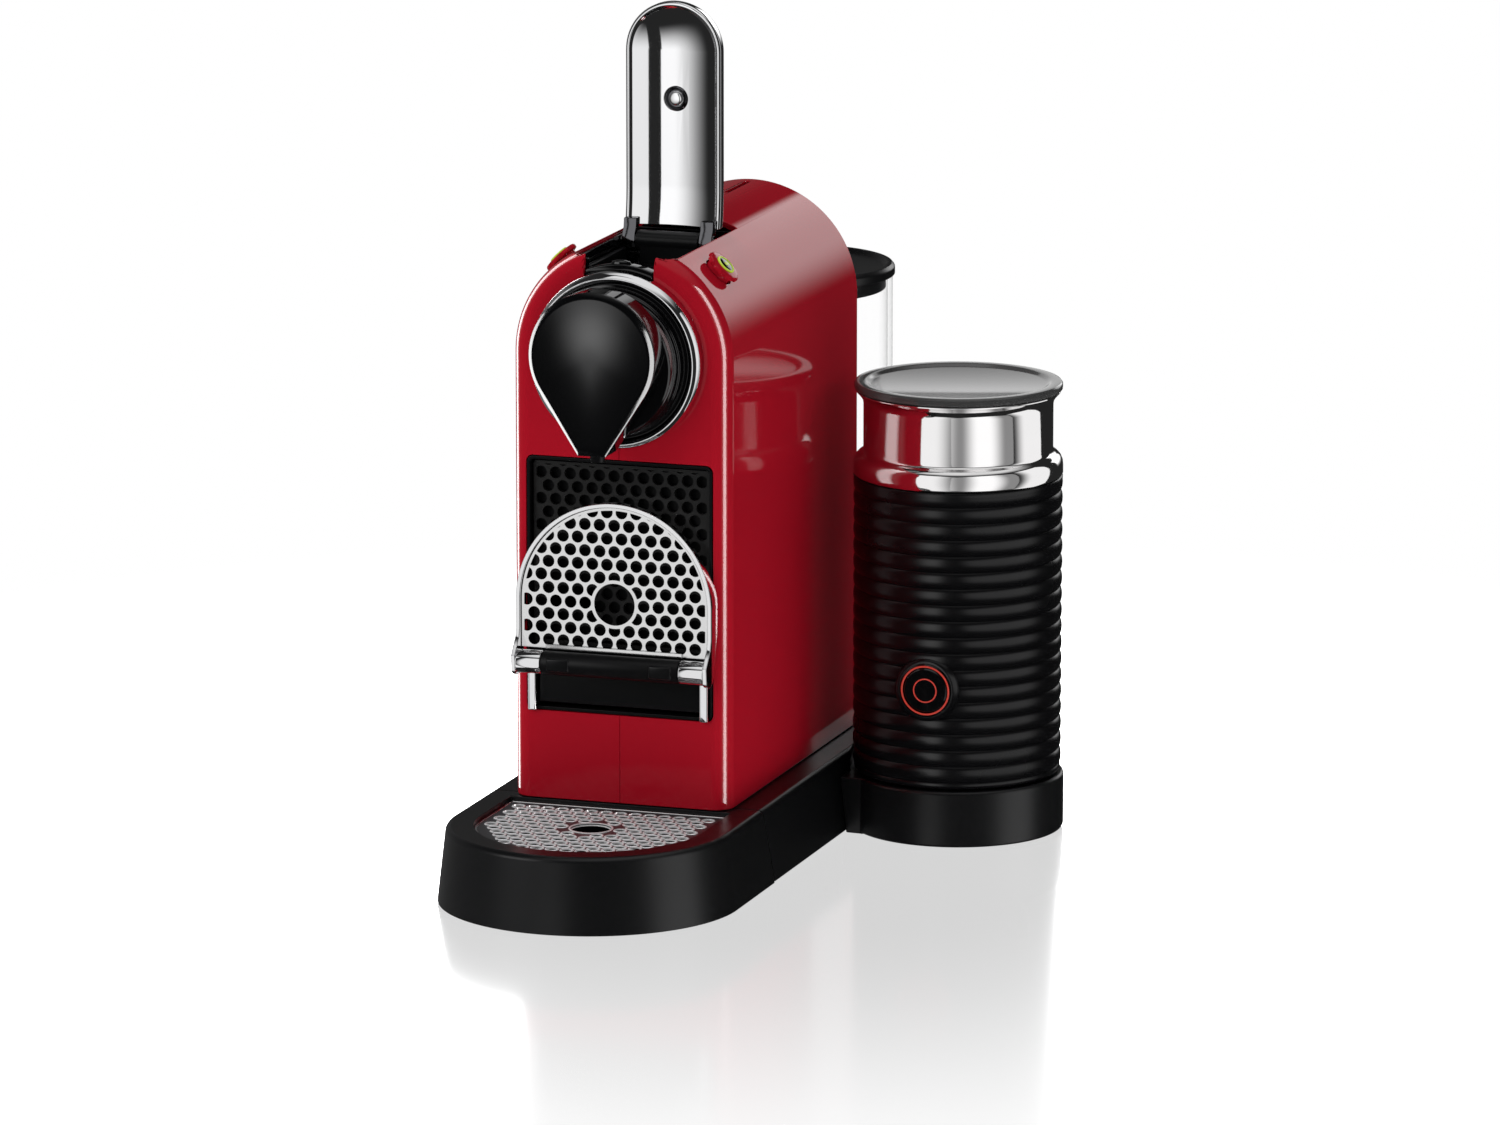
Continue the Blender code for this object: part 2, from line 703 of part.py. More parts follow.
def cup_tray():
    rim = prism(tray_side_outline(), -TRAY_OUTER - 0.01, TRAY_OUTER + 0.01, "X")
    frame = node("tray_frame", rim, CHROME, TRAY_PIVOT)
    keep(frame, prism(tray_outline(TRAY_OUTER, 0.07), -0.03, 0.01, "Y"))
    cut(frame, prism(tray_outline(TRAY_INNER, 0.06), -0.04, 0.02, "Y"))
    ends = [bar_along_x(HINGE_RADIUS, TRAY_INNER + 0.0005, TRAY_PIVOT)]
    join(frame, *ends)
    cut(
        frame,
        block(
            (-HINGE_BAR_HALF - GAP, HINGE_BAR_HALF + GAP), (-0.03, 0.01), (0.08, 0.0990)
        ),
        bar_along_x(HINGE_PIN_RADIUS + GAP, 0.0408, TRAY_PIVOT, 12),
    )
    smooth(frame)
    plate = prism(tray_outline(TRAY_INNER - GAP, 0.0992), *TRAY_PLATE_Y, "Y")
    grid = node("tray_grid", plate, STEEL, TRAY_PIVOT)
    cut(grid, cylinder(TRAY_HOLE, -0.01, 0.03, (0, 0, TRAY_CENTRE_Z), 24, "Y"))


# ------------------------------------------------------------------- base
def drip_tray():
    split = BASE_SPLIT - GAP
    pivot = (0, split, 0)
    body = drafted(lambda half: d_outline(half, BASE_FRONT_CENTRE, split), 0.0, BASE_HEIGHT)
    obj = node("drip_tray", body, MATTE_BLACK, pivot)
    cut(
        obj,
        block((-0.0700, 0.0700), (-0.1100, 0.0200), (-0.001, BASE_LOW - 0.0005)),
        prism(d_outline(TRAY_POCKET, BASE_FRONT_CENTRE, 0.0), GRID_TOP - GRID_THICK - GAP, 0.05),
        prism(d_outline(TRAY_CAVITY, BASE_FRONT_CENTRE, -0.0040), 0.0065, 0.05),
        prism(d_outline(0.0560, BASE_FRONT_CENTRE, 0.0200), -0.01, 0.0045),
    )
    smooth(obj)
    plate = prism(
        d_outline(TRAY_POCKET - GAP, BASE_FRONT_CENTRE, -0.0005), GRID_TOP - GRID_THICK, GRID_TOP
    )
    grid = node("drip_grid", plate, STEEL, (0, BASE_FRONT_CENTRE, GRID_TOP))
    cut(grid, cylinder(GRID_HOLE, 0.0, 0.05, (0, BASE_FRONT_CENTRE, 0), 24))


def base_outline(half):
    return stadium_outline(half, BASE_SPLIT, BASE_REAR_CENTRE)


def base_frame():
    obj = node("base_frame", drafted(base_outline, BASE_LOW, BASE_HEIGHT), MATTE_BLACK)
    hollow = prism(
        stadium_outline(BASE_HALF_TOP - BASE_WALL, BASE_SPLIT + BASE_WALL, BASE_REAR_CENTRE),
        -0.01, BASE_HEIGHT - BASE_WALL,
    )
    front_door = block((-0.0560, 0.0560), (0, BASE_SPLIT + 0.01), (0, 0.0045))
    jug_notch = cylinder(JUG_RADIUS + 0.0009, STAND_TOP - 0.0005, 0.05, JUG, 48)
    gland_hole = cylinder(0.0063, -0.29, -0.25, (-0.0300, 0, 0.0160), 16, "Y")
    cut(obj, hollow, front_door, jug_notch, gland_hole)
    smooth(obj)
    gland = [(0.0026, -0.2640), (0.0060, -0.2640), (0.0060, -0.2540), (0.0026, -0.2540)]
    smooth(node("cord_gland", turned(gland, (-0.0300, 0, 0.0160), 16, "Y"), RUBBER))
    floor = node(
        "base_floor",
        prism(
            stadium_outline(BASE_HALF_TOP - BASE_WALL - GAP, 0.0140, BASE_REAR_CENTRE),
            BASE_LOW, BASE_LOW + 0.0022,
        ),
        MATTE_BLACK,
    )
    join(floor, prism(d_outline(0.0540, BASE_FRONT_CENTRE, 0.0200), BASE_LOW, BASE_LOW + 0.0022))


def feet():
    places = {
        "foot_front_left": (-0.0360, -0.0600),
        "foot_front_right": (0.0360, -0.0600),
        "foot_rear_left": (-0.0400, 0.2100),
        "foot_rear_right": (0.0400, 0.2100),
        "foot_frother": (JUG.x + 0.0150, JUG.y),
    }
    for name, (x, y) in places.items():
        smooth(node(name, cylinder(FOOT_RADIUS, 0, FOOT_HEIGHT, (x, y, 0), 16), RUBBER))


# ------------------------------------------------------------------ water tank
def water_tank():
    centre = (0, TANK_Y, 0)
    seat_top = TANK_BOTTOM - GAP
    seat = [
        (0.0066, BASE_HEIGHT + GAP),
        (0.0400, BASE_HEIGHT + GAP),
        (0.0390, seat_top),
        (0.0066, seat_top),
    ]
    smooth(node("tank_seat", turned(seat, centre, 32), MATTE_BLACK))
    inner = TANK_RADIUS - TANK_WALL
    wall = [
        (0.0066, TANK_BOTTOM),
        (TANK_RADIUS - 0.0030, TANK_BOTTOM),
        (TANK_RADIUS, TANK_BOTTOM + 0.0030),
        (TANK_RADIUS, TANK_TOP),
        (inner, TANK_TOP),
        (inner, TANK_BOTTOM + 0.0040),
        (inner - 0.0015, TANK_BOTTOM + 0.0025),
        (0.0066, TANK_BOTTOM + 0.0025),
    ]
    pivot = (0, TANK_Y, TANK_BOTTOM)
    smooth(node("water_tank", turned(wall, centre, 36), CLEAR, pivot))
    valve = [
        (0, BASE_HEIGHT + 0.0006),
        (0.0062, BASE_HEIGHT + 0.0006),
        (0.0062, TANK_BOTTOM + 0.0028),
        (0.0085, TANK_BOTTOM + 0.0028),
        (0.0085, TANK_BOTTOM + 0.0060),
        (0.0040, TANK_BOTTOM + 0.0120),
        (0, TANK_BOTTOM + 0.0120),
    ]
    smooth(node("tank_valve", turned(valve, centre, 20), MATTE_BLACK, pivot))
    plug = inner - 0.0008
    rim_low = TANK_TOP + GAP
    lid = [
        (0, 0.2165),
        (plug - 0.0025, 0.2165),
        (plug - 0.0025, 0.2142),
        (plug, 0.2142),
        (plug, rim_low),
        (TANK_LID_RADIUS, rim_low),
        (TANK_LID_RADIUS, TANK_LID_TOP - 0.0015),
        (TANK_LID_RADIUS - 0.0015, TANK_LID_TOP),
        (TANK_LID_RADIUS - 0.0045, TANK_LID_TOP),
        (TANK_LID_RADIUS - 0.0060, TANK_LID_TOP - 0.0016),
        (0, TANK_LID_TOP - 0.0016),
    ]
    smooth(node("tank_lid", turned(lid, centre, 36), MATTE_BLACK, (0, TANK_Y, TANK_TOP)))


# ---------------------------------------------------------------- milk frother
def frother_stand():
    profile = [
        (0, 0.0008),
        (STAND_RADIUS - 0.0006, 0.0008),
        (STAND_RADIUS, 0.0020),
        (STAND_RADIUS, STAND_TOP - 0.0010),
        (STAND_RADIUS - 0.0010, STAND_TOP),
        (0, STAND_TOP),
    ]
    obj = node("frother_stand", turned(profile, JUG, 40), MATTE_BLACK)
    bridge = block((0.0500, JUG.x), (JUG.y - BRIDGE_HALF, JUG.y + BRIDGE_HALF), (0.0008, STAND_TOP))
    join(obj, bridge)
    shell = drafted(lambda half: stadium_outline(half, 0.0, BASE_REAR_CENTRE), -0.01, 0.04, GAP)
    cut(obj, shell, cylinder(STAND_RADIUS - 0.0040, -0.01, 0.0215, JUG, 32))
    foot_boss = cylinder(FOOT_RADIUS, BASE_LOW, 0.0216, (JUG.x + 0.0150, JUG.y, 0), 16)
    join(obj, foot_boss)
    smooth(obj)
    contact = [
        (0, STAND_TOP + GAP),
        (0.0140, STAND_TOP + GAP),
        (0.0130, STAND_TOP + 0.0050),
        (0, STAND_TOP + 0.0050),
    ]
    smooth(node("frother_connector", turned(contact, JUG, 24), MATTE_BLACK))


def jug_housing():
    inner = JUG_RADIUS - 0.0032
    profile = [
        (0.0148, JUG_BOTTOM),
        (JUG_RADIUS - 0.0012, JUG_BOTTOM),
        (JUG_RADIUS, JUG_BOTTOM + 0.0012),
        (JUG_RADIUS, HOUSING_TOP),
        (inner, HOUSING_TOP),
        (inner, JUG_BOTTOM + 0.0032),
        (0.0170, JUG_BOTTOM + 0.0032),
        (0.0170, JUG_BOTTOM + 0.0076),
        (0, JUG_BOTTOM + 0.0076),
        (0, JUG_BOTTOM + 0.0055),
        (0.0148, JUG_BOTTOM + 0.0055),
    ]
    pivot = (JUG.x, JUG.y, JUG_BOTTOM)
    obj = node("jug_housing", turned(profile, JUG, 40), MATTE_BLACK, pivot)
    boss_centre = (JUG.x, JUG.y, JUG_BUTTON_Z)
    join(obj, cylinder(JUG_BUTTON_SEAT + 0.0010, 0.0400, 0.0455, boss_centre, 24, "Y"))
    cut(obj, cylinder(JUG_BUTTON_SEAT, 0.0425, 0.0600, boss_centre, 24, "Y"))
    smooth(obj)
    ring = [
        (JUG_BUTTON_RADIUS + GAP, 0.0428),
        (JUG_BUTTON_SEAT - GAP, 0.0428),
        (JUG_BUTTON_SEAT - GAP, 0.0459),
        (JUG_BUTTON_RADIUS + GAP, 0.0459),
    ]
    smooth(node("jug_button_ring", turned(ring, boss_centre, 24, "Y"), GLOSS_BLACK, pivot))
    button = cylinder(JUG_BUTTON_RADIUS, 0.0442, JUG_BUTTON_FACE, boss_centre, 24, "Y")
    smooth(node("jug_button", button, GLOSS_BLACK, (JUG.x, JUG.y - 0.0462, JUG_BUTTON_Z)))
    smooth(node("jug_motor", cylinder(0.0180, 0.0340, 0.0530, JUG, 24), STEEL, pivot))
    smooth(node("drive_magnet", cylinder(0.0140, 0.0534, 0.0590, JUG, 20), STEEL, pivot))


def jug_vessel():
    liner = 0.0380
    skin = 0.0010
    profile = [
        (0, VESSEL_FLOOR - skin),
        (liner - 0.002, VESSEL_FLOOR - skin),
        (liner, VESSEL_FLOOR + 0.001),
        (liner, 0.1580),
        (0.0425, 0.1570),
        (0.0425, HOUSING_TOP + GAP),
        (JUG_RADIUS - 0.0002, HOUSING_TOP + GAP),
        (JUG_RADIUS, 0.1580),
        (0.0432, 0.1620),
        (0.0410, 0.1655),
        (NECK_RADIUS, 0.1680),
        (NECK_RADIUS, 0.1865),
        (RIM_RADIUS, RIM_TOP - 0.0005),
        (RIM_RADIUS - 0.0005, RIM_TOP),
        (NECK_RADIUS - skin, 0.1880),
        (NECK_RADIUS - skin, 0.1680),
        (liner - skin, 0.1600),
        (liner - skin, VESSEL_FLOOR + 0.0016),
        (liner - 0.0025, VESSEL_FLOOR),
        (0, VESSEL_FLOOR),
    ]
    pivot = (JUG.x, JUG.y, JUG_BOTTOM)
    obj = node("jug_vessel", turned(profile, JUG, 40), STEEL, pivot)
    join(obj, cylinder(0.0018, VESSEL_FLOOR - 0.0005, VESSEL_FLOOR + 0.0060, JUG, 12))
    smooth(obj)
    whisk = [
        (0.0022, VESSEL_FLOOR + 0.0010),
        (0.0120, VESSEL_FLOOR + 0.0010),
        (0.0120, VESSEL_FLOOR + 0.0050),
        (0.0040, VESSEL_FLOOR + 0.0060),
        (0.0040, VESSEL_FLOOR + 0.0200),
        (0, VESSEL_FLOOR + 0.0200),
        (0, VESSEL_FLOOR + 0.0080),
        (0.0022, VESSEL_FLOOR + 0.0080),
    ]
    smooth(node("whisk", turned(whisk, JUG, 20), STEEL, (JUG.x, JUG.y, VESSEL_FLOOR)))


def jug_lid():
    plug = NECK_RADIUS - 0.0022
    profile = [
        (0, 0.1895),
        (plug - 0.0060, 0.1895),
        (plug - 0.0040, 0.1850),
        (plug, 0.1850),
        (plug, RIM_TOP + GAP),
        (RIM_RADIUS + GAP, RIM_TOP + GAP),
        (RIM_RADIUS + GAP, 0.1885),
        (LID_RADIUS, 0.1885),
        (LID_RADIUS, LID_TOP - 0.0008),
        (LID_RADIUS - 0.0008, LID_TOP),
        (LID_RADIUS - 0.0055, LID_TOP),
        (LID_RADIUS - 0.0085, 0.1925),
        (0, 0.1925),
    ]
    smooth(node("jug_lid", turned(profile, JUG, 40), SMOKED, (JUG.x, JUG.y, RIM_TOP)))
    seal_outer = NECK_RADIUS - 0.0013
    seal = [
        (plug + GAP, 0.1856),
        (seal_outer, 0.1856),
        (seal_outer, 0.1878),
        (plug + GAP, 0.1878),
    ]
    smooth(node("lid_seal", turned(seal, JUG, 32), RUBBER, (JUG.x, JUG.y, RIM_TOP)))


# ----------------------------------------------------------------------- build
clear_scene()
MACHINE = bpy.data.objects.new("machine", None)
MACHINE.location = MACHINE_ORIGIN
bpy.context.scene.collection.objects.link(MACHINE)

RED = make_material("red_gloss", (0.42, 0.008, 0.022), 0.16)
GLOSS_BLACK = make_material("black_gloss", (0.012, 0.012, 0.013), 0.12)
MATTE_BLACK = make_material("black_satin", (0.022, 0.022, 0.024), 0.45)
GREY_PLASTIC = make_material("grey_plastic", (0.25, 0.25, 0.26), 0.5)
CHROME = make_material("chrome", (0.85, 0.85, 0.86), 0.06, 1.0)
STEEL = make_material("steel", (0.70, 0.70, 0.71), 0.22, 1.0)
ALUMINIUM = make_material("aluminium", (0.60, 0.60, 0.62), 0.4, 1.0)
RUBBER = make_material("rubber", (0.03, 0.03, 0.03), 0.8)
CLEAR = make_material("clear_plastic", (0.92, 0.94, 0.95), 0.05, 0.0, 0.3)
SMOKED = make_material("smoked_plastic", (0.25, 0.26, 0.27), 0.06, 0.0, 0.5)
BOARD_GREEN = make_material("board_green", (0.03, 0.20, 0.08), 0.6)

casing_half("casing_left", -1)
casing_half("casing_right", 1)
back_cover()
capsule_slot_liner()
outlet_ring()
outlet_bezel()
outlet_head()
chassis()
brew_unit()
heater_and_pump()
water_hose()
coffee_button("coffee_button_left", -1)
coffee_button("coffee_button_right", 1)
lever()
drawer_bay_liner()
capsule_drawer()
cup_tray()
drip_tray()
base_frame()
feet()
water_tank()
frother_stand()
jug_housing()
jug_vessel()
jug_lid()
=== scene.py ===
"""Looks of a pod coffee machine with a side milk frother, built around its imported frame.

Every shape is drawn in the machine's own frame, in metres: X = 0 is the body's
centre plane, Y = 0 its front face with +Y towards the back, and Z = 0 the
worktop. MACHINE then carries each shape to where the frame holds that machine.
"""

import json
import math

import bmesh
import bpy
from mathutils import Matrix, Vector

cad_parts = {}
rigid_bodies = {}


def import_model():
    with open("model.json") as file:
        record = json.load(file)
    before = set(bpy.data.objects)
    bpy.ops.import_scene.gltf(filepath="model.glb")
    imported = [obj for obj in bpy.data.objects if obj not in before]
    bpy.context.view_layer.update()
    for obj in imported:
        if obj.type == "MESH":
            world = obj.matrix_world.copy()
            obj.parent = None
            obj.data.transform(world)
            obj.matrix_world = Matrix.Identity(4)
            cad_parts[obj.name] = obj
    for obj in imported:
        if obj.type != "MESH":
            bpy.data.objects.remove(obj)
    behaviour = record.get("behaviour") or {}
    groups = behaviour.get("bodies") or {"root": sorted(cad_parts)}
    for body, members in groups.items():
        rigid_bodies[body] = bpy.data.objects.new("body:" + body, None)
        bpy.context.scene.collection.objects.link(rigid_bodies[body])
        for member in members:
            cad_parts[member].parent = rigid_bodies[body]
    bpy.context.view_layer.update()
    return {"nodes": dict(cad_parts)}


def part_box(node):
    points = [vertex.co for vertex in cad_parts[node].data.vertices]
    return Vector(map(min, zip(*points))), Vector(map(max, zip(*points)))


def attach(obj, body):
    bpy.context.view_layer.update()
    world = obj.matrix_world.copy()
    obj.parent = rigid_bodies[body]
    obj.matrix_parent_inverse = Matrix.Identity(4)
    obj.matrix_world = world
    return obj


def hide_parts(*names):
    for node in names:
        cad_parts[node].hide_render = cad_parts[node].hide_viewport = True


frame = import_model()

# ------------------------------------------------- places read from the frame
shell_low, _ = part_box("casing_left")
_, shell_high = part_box("casing_right")
MACHINE = Vector(((shell_low.x + shell_high.x) / 2, shell_low.y, 0.0))
HALF = (shell_high.x - shell_low.x) / 2
TOP = shell_high.z
BOTTOM = shell_low.z
DEPTH = shell_high.y - shell_low.y
ARCH_Z = TOP - HALF

vessel_low, vessel_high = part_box("jug_vessel")
JUG = (vessel_low + vessel_high) / 2 - MACHINE
JUG.z = 0.0
tank_low, tank_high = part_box("water_tank")
TANK = (tank_low + tank_high) / 2 - MACHINE
TANK.z = 0.0

# ---------------------------------------------------------------- dimensions
FRONT_EDGE = 0.0080
WALL = 0.0025
SEAM = 0.00022
BAY_HALF, BAY_LOW, BAY_HIGH, BAY_CORNER = 0.0410, 0.0710, 0.1795, 0.0030
SLOT_HALF, SLOT_THROAT, SLOT_STEP, SLOT_BACK = 0.0225, 0.0152, 0.0030, 0.0860
SLOT_RIM, SLOT_FLOOR = 0.2630, 0.2520
RING_OUTER, RING_INNER = 0.0372, 0.0333
HEAD_RADIUS, HEAD_Z, HEAD_TIP_Z, HEAD_TIP_HALF = 0.0273, 0.2285, 0.1875, 0.0060
LEVER_HALF, LEVER_TOP, LEVER_FOOT = 0.0210, 0.3615, 0.2665
AXLE = Vector((0.0, 0.0645, 0.2610))
RIVET_Z = 0.3200
HOLE_PITCH, HOLE_ROW = 0.00644, 0.00557
HINGE = Vector((0.0, -0.0095, 0.0937))
TRAY_Z, TRAY_OUTER, TRAY_INNER = 0.1196, 0.0430, 0.0412
BASE_LOW_HALF, BASE_TOP_HALF, BASE_HEIGHT = 0.0639, 0.0601, 0.0330
BASE_FRONT, BASE_REAR = -0.0364, 0.2076
TRAY_SPLIT, SEAM_TOP, SEAM_FOOT, SEAM_GAP = 0.0095, 0.0086, 0.0140, 0.00030
GRID_TOP, GRID_EDGE = 0.0313, 0.0482
GLAND = (-0.0300, 0, 0.0160)
BUTTON_PLACE = 0.0300
SWITCH_Z = 0.0688


# --------------------------------------------------------------- shape making
def ring_of_points(bm, start, centre, axis, angle, steps):
    """Vertices on an arc, in order, spun from one start point."""
    first = bm.verts.new(start)
    before = set(bm.verts) - {first}
    bmesh.ops.spin(
        bm, geom=[first], cent=centre, axis=axis, angle=angle, steps=steps
    )
    return [v for v in bm.verts if v not in before]


def pushed(bm, faces, move):
    """Extrudes flat faces into a closed body."""
    grown = bmesh.ops.extrude_face_region(bm, geom=faces)["geom"]
    bmesh.ops.translate(
        bm, verts=[g for g in grown if isinstance(g, bmesh.types.BMVert)], vec=move
    )


def arch(half, centre_z, bottom, front, back, steps=96):
    """A half circle over straight sides, from front to back."""
    bm = bmesh.new()
    arc = ring_of_points(
        bm, (half, front, centre_z), (0, 0, centre_z), (0, -1, 0), math.pi, steps
    )
    right = bm.verts.new((half, front, bottom))
    left = bm.verts.new((-half, front, bottom))
    pushed(bm, [bm.faces.new([right] + arc + [left])], (0, back - front, 0))
    return bm


def bowed(half, centre_y, flat_y, low, high, steps=72, front=True):
    """A half circle in plan, towards the front or the back, with straight sides."""
    bm = bmesh.new()
    turn = -1 if front else 1
    arc = ring_of_points(
        bm, (half, centre_y, low), (0, centre_y, 0), (0, 0, turn), math.pi, steps
    )
    right = bm.verts.new((half, flat_y, low))
    left = bm.verts.new((-half, flat_y, low))
    pushed(bm, [bm.faces.new([right] + arc + [left])], (0, 0, high - low))
    return bm


def cut_to(points, low, high, axis="Z", corners=0.0, segments=4):
    """A flat outline pushed through along an axis, with rounded corners."""
    bm = bmesh.new()
    place = {
        "Z": lambda a, b: (a, b, low),
        "Y": lambda a, b: (a, low, b),
        "X": lambda a, b: (low, a, b),
    }[axis]
    bm.faces.new([bm.verts.new(place(a, b)) for a, b in points])
    if corners:
        bmesh.ops.bevel(
            bm, geom=bm.verts[:], offset=corners, offset_type="OFFSET",
            segments=segments, profile=0.5, affect="VERTICES", material=-1,
        )
    step = {"Z": (0, 0, 1), "Y": (0, 1, 0), "X": (1, 0, 0)}[axis]
    pushed(bm, bm.faces[:], Vector(step) * (high - low))
    return bm


def brick(x, y, z, corners=0.0):
    points = [(x[0], y[0]), (x[1], y[0]), (x[1], y[1]), (x[0], y[1])]
    return cut_to(points, z[0], z[1], "Z", corners)


def turned(profile, steps=96, axis="Z", centre=(0, 0, 0)):
    """A closed (radius, height) profile turned round an axis; height runs to -Y for axis Y."""
    bm = bmesh.new()
    points = [bm.verts.new((r, 0, h)) for r, h in profile]
    count = len(points)
    for i in range(count):
        a, b = points[i], points[(i + 1) % count]
        if a.co.x > 0 or b.co.x > 0:
            bm.edges.new((a, b))
    bmesh.ops.spin(
        bm, geom=bm.verts[:] + bm.edges[:], cent=(0, 0, 0), axis=(0, 0, 1),
        angle=math.tau, steps=steps, use_merge=True,
    )
    bmesh.ops.remove_doubles(bm, verts=bm.verts, dist=1e-6)
    if axis == "Y":
        bmesh.ops.rotate(bm, verts=bm.verts, matrix=Matrix.Rotation(math.pi / 2, 3, "X"))
    elif axis == "X":
        bmesh.ops.rotate(bm, verts=bm.verts, matrix=Matrix.Rotation(math.pi / 2, 3, "Y"))
    bmesh.ops.translate(bm, verts=bm.verts, vec=centre)
    return bm


def rod(radius, low, high, steps=48, axis="Z", centre=(0, 0, 0)):
    return turned([(0, low), (radius, low), (radius, high), (0, high)], steps, axis, centre)


def softened(bm, width, segments=3, angle=32):
    """Rounds every edge that is sharper than the angle."""
    bmesh.ops.recalc_face_normals(bm, faces=bm.faces)
    limit = math.radians(angle)
    edges = [e for e in bm.edges if e.is_manifold and e.calc_face_angle(0) > limit]
    bmesh.ops.bevel(
        bm, geom=edges, offset=width, offset_type="OFFSET", segments=segments,
        profile=0.5, affect="EDGES", clamp_overlap=True, material=-1,
    )
    bmesh.ops.remove_doubles(bm, verts=bm.verts, dist=1e-7)
    return bm


def joined(*shapes):
    """Several closed shapes in one mesh, left as they are."""
    bm = bmesh.new()
    for shape in shapes:
        mesh = bpy.data.meshes.new("part")
        shape.to_mesh(mesh)
        shape.free()
        bm.from_mesh(mesh)
        bpy.data.meshes.remove(mesh)
    return bm


def loose(bm, name):
    """A shape as an object for a modifier to work on."""
    bmesh.ops.recalc_face_normals(bm, faces=bm.faces)
    mesh = bpy.data.meshes.new(name)
    bm.to_mesh(mesh)
    bm.free()
    obj = bpy.data.objects.new(name, mesh)
    bpy.context.scene.collection.objects.link(obj)
    return obj


def settled(obj):
    """The mesh that an object's modifiers leave, as a new bmesh."""
    graph = bpy.context.evaluated_depsgraph_get()
    bm = bmesh.new()
    bm.from_object(obj, graph)
    mesh = obj.data
    bpy.data.objects.remove(obj)
    bpy.data.meshes.remove(mesh)
    return bm


def combined(bm, other, operation):
    work, helper = loose(bm, "work"), loose(other, "helper")
    modifier = work.modifiers.new(operation, "BOOLEAN")
    modifier.operation = operation
    modifier.solver = "EXACT"
    modifier.object = helper
    bm = settled(work)
    mesh = helper.data
    bpy.data.objects.remove(helper)
    bpy.data.meshes.remove(mesh)
    bmesh.ops.remove_doubles(bm, verts=bm.verts, dist=1e-7)
    return bm


def without(bm, *cutters):
    for cutter in cutters:
        bm = combined(bm, cutter, "DIFFERENCE")
    return bm


def welded(bm, *others):
    for other in others:
        bm = combined(bm, other, "UNION")
    return bm


def within(bm, other):
    return combined(bm, other, "INTERSECT")


def eased(bm, width, segments=2, angle=35):
    """A Bevel modifier's rounding, which copes better with the faces a Boolean leaves."""
    work = loose(bm, "work")
    modifier = work.modifiers.new("ease", "BEVEL")
    modifier.width = width
    modifier.segments = segments
    modifier.limit_method = "ANGLE"
    modifier.angle_limit = math.radians(angle)
    modifier.use_clamp_overlap = False
    return settled(work)


def halved(bm, point, normal):
    """Keeps what lies behind a plane, and closes the cut."""
    cut = bmesh.ops.bisect_plane(
        bm, geom=bm.verts[:] + bm.edges[:] + bm.faces[:], plane_co=point,
        plane_no=normal, clear_outer=True,
    )["geom_cut"]
    edges = [g for g in cut if isinstance(g, bmesh.types.BMEdge)]
    bmesh.ops.holes_fill(bm, edges=edges, sides=0)
    return bm


def piece(name, bm, material, body, slot, *nodes, angle=35, weighted=False):
    """Places a shape in the frame, hangs it on the body it rides on, and hides the parts of the frame it
    stands for.
    """
    bmesh.ops.remove_doubles(bm, verts=bm.verts, dist=1e-7)
    bmesh.ops.recalc_face_normals(bm, faces=bm.faces)
    bmesh.ops.translate(bm, verts=bm.verts, vec=MACHINE)
    mesh = bpy.data.meshes.new(name)
    bm.to_mesh(mesh)
    bm.free()
    mesh.shade_smooth()
    mesh.set_sharp_from_angle(angle=math.radians(angle))
    mesh.materials.append(material)
    obj = bpy.data.objects.new(name, mesh)
    bpy.context.scene.collection.objects.link(obj)
    if weighted:
        modifier = obj.modifiers.new("even_shading", "WEIGHTED_NORMAL")
        modifier.keep_sharp = True
    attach(obj, body)
    if nodes:
        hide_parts(*nodes)
    return obj


def staggered(low_a, high_a, low_b, high_b, centre=(0.0, 0.0)):
    """Places of holes in offset rows, as (a, b) pairs round a centre."""
    spots = []
    rows = int(math.ceil(max(abs(low_b - centre[1]), abs(high_b - centre[1])) / HOLE_ROW))
    columns = int(math.ceil(max(abs(low_a - centre[0]), abs(high_a - centre[0])) / HOLE_PITCH))
    for row in range(-rows, rows + 1):
        b = centre[1] + row * HOLE_ROW
        shift = HOLE_PITCH / 2 if row % 2 else 0.0
        for column in range(-columns - 1, columns + 1):
            a = centre[0] + column * HOLE_PITCH + shift
            if low_a <= a <= high_a and low_b <= b <= high_b:
                spots.append((a, b))
    return spots


def pins(spots, radius, low, high, axis, steps=12):
    """One mesh of short rods, to punch a pattern of holes with."""
    bm = bmesh.new()
    turn = Matrix.Rotation(math.pi / 2, 4, "X") if axis == "Y" else Matrix.Identity(4)
    for a, b in spots:
        middle = (low + high) / 2
        spot = (a, middle, b) if axis == "Y" else (a, b, middle)
        bmesh.ops.create_cone(
            bm, cap_ends=True, segments=steps, radius1=radius, radius2=radius,
            depth=high - low, matrix=Matrix.Translation(spot) @ turn,
        )
    return bm


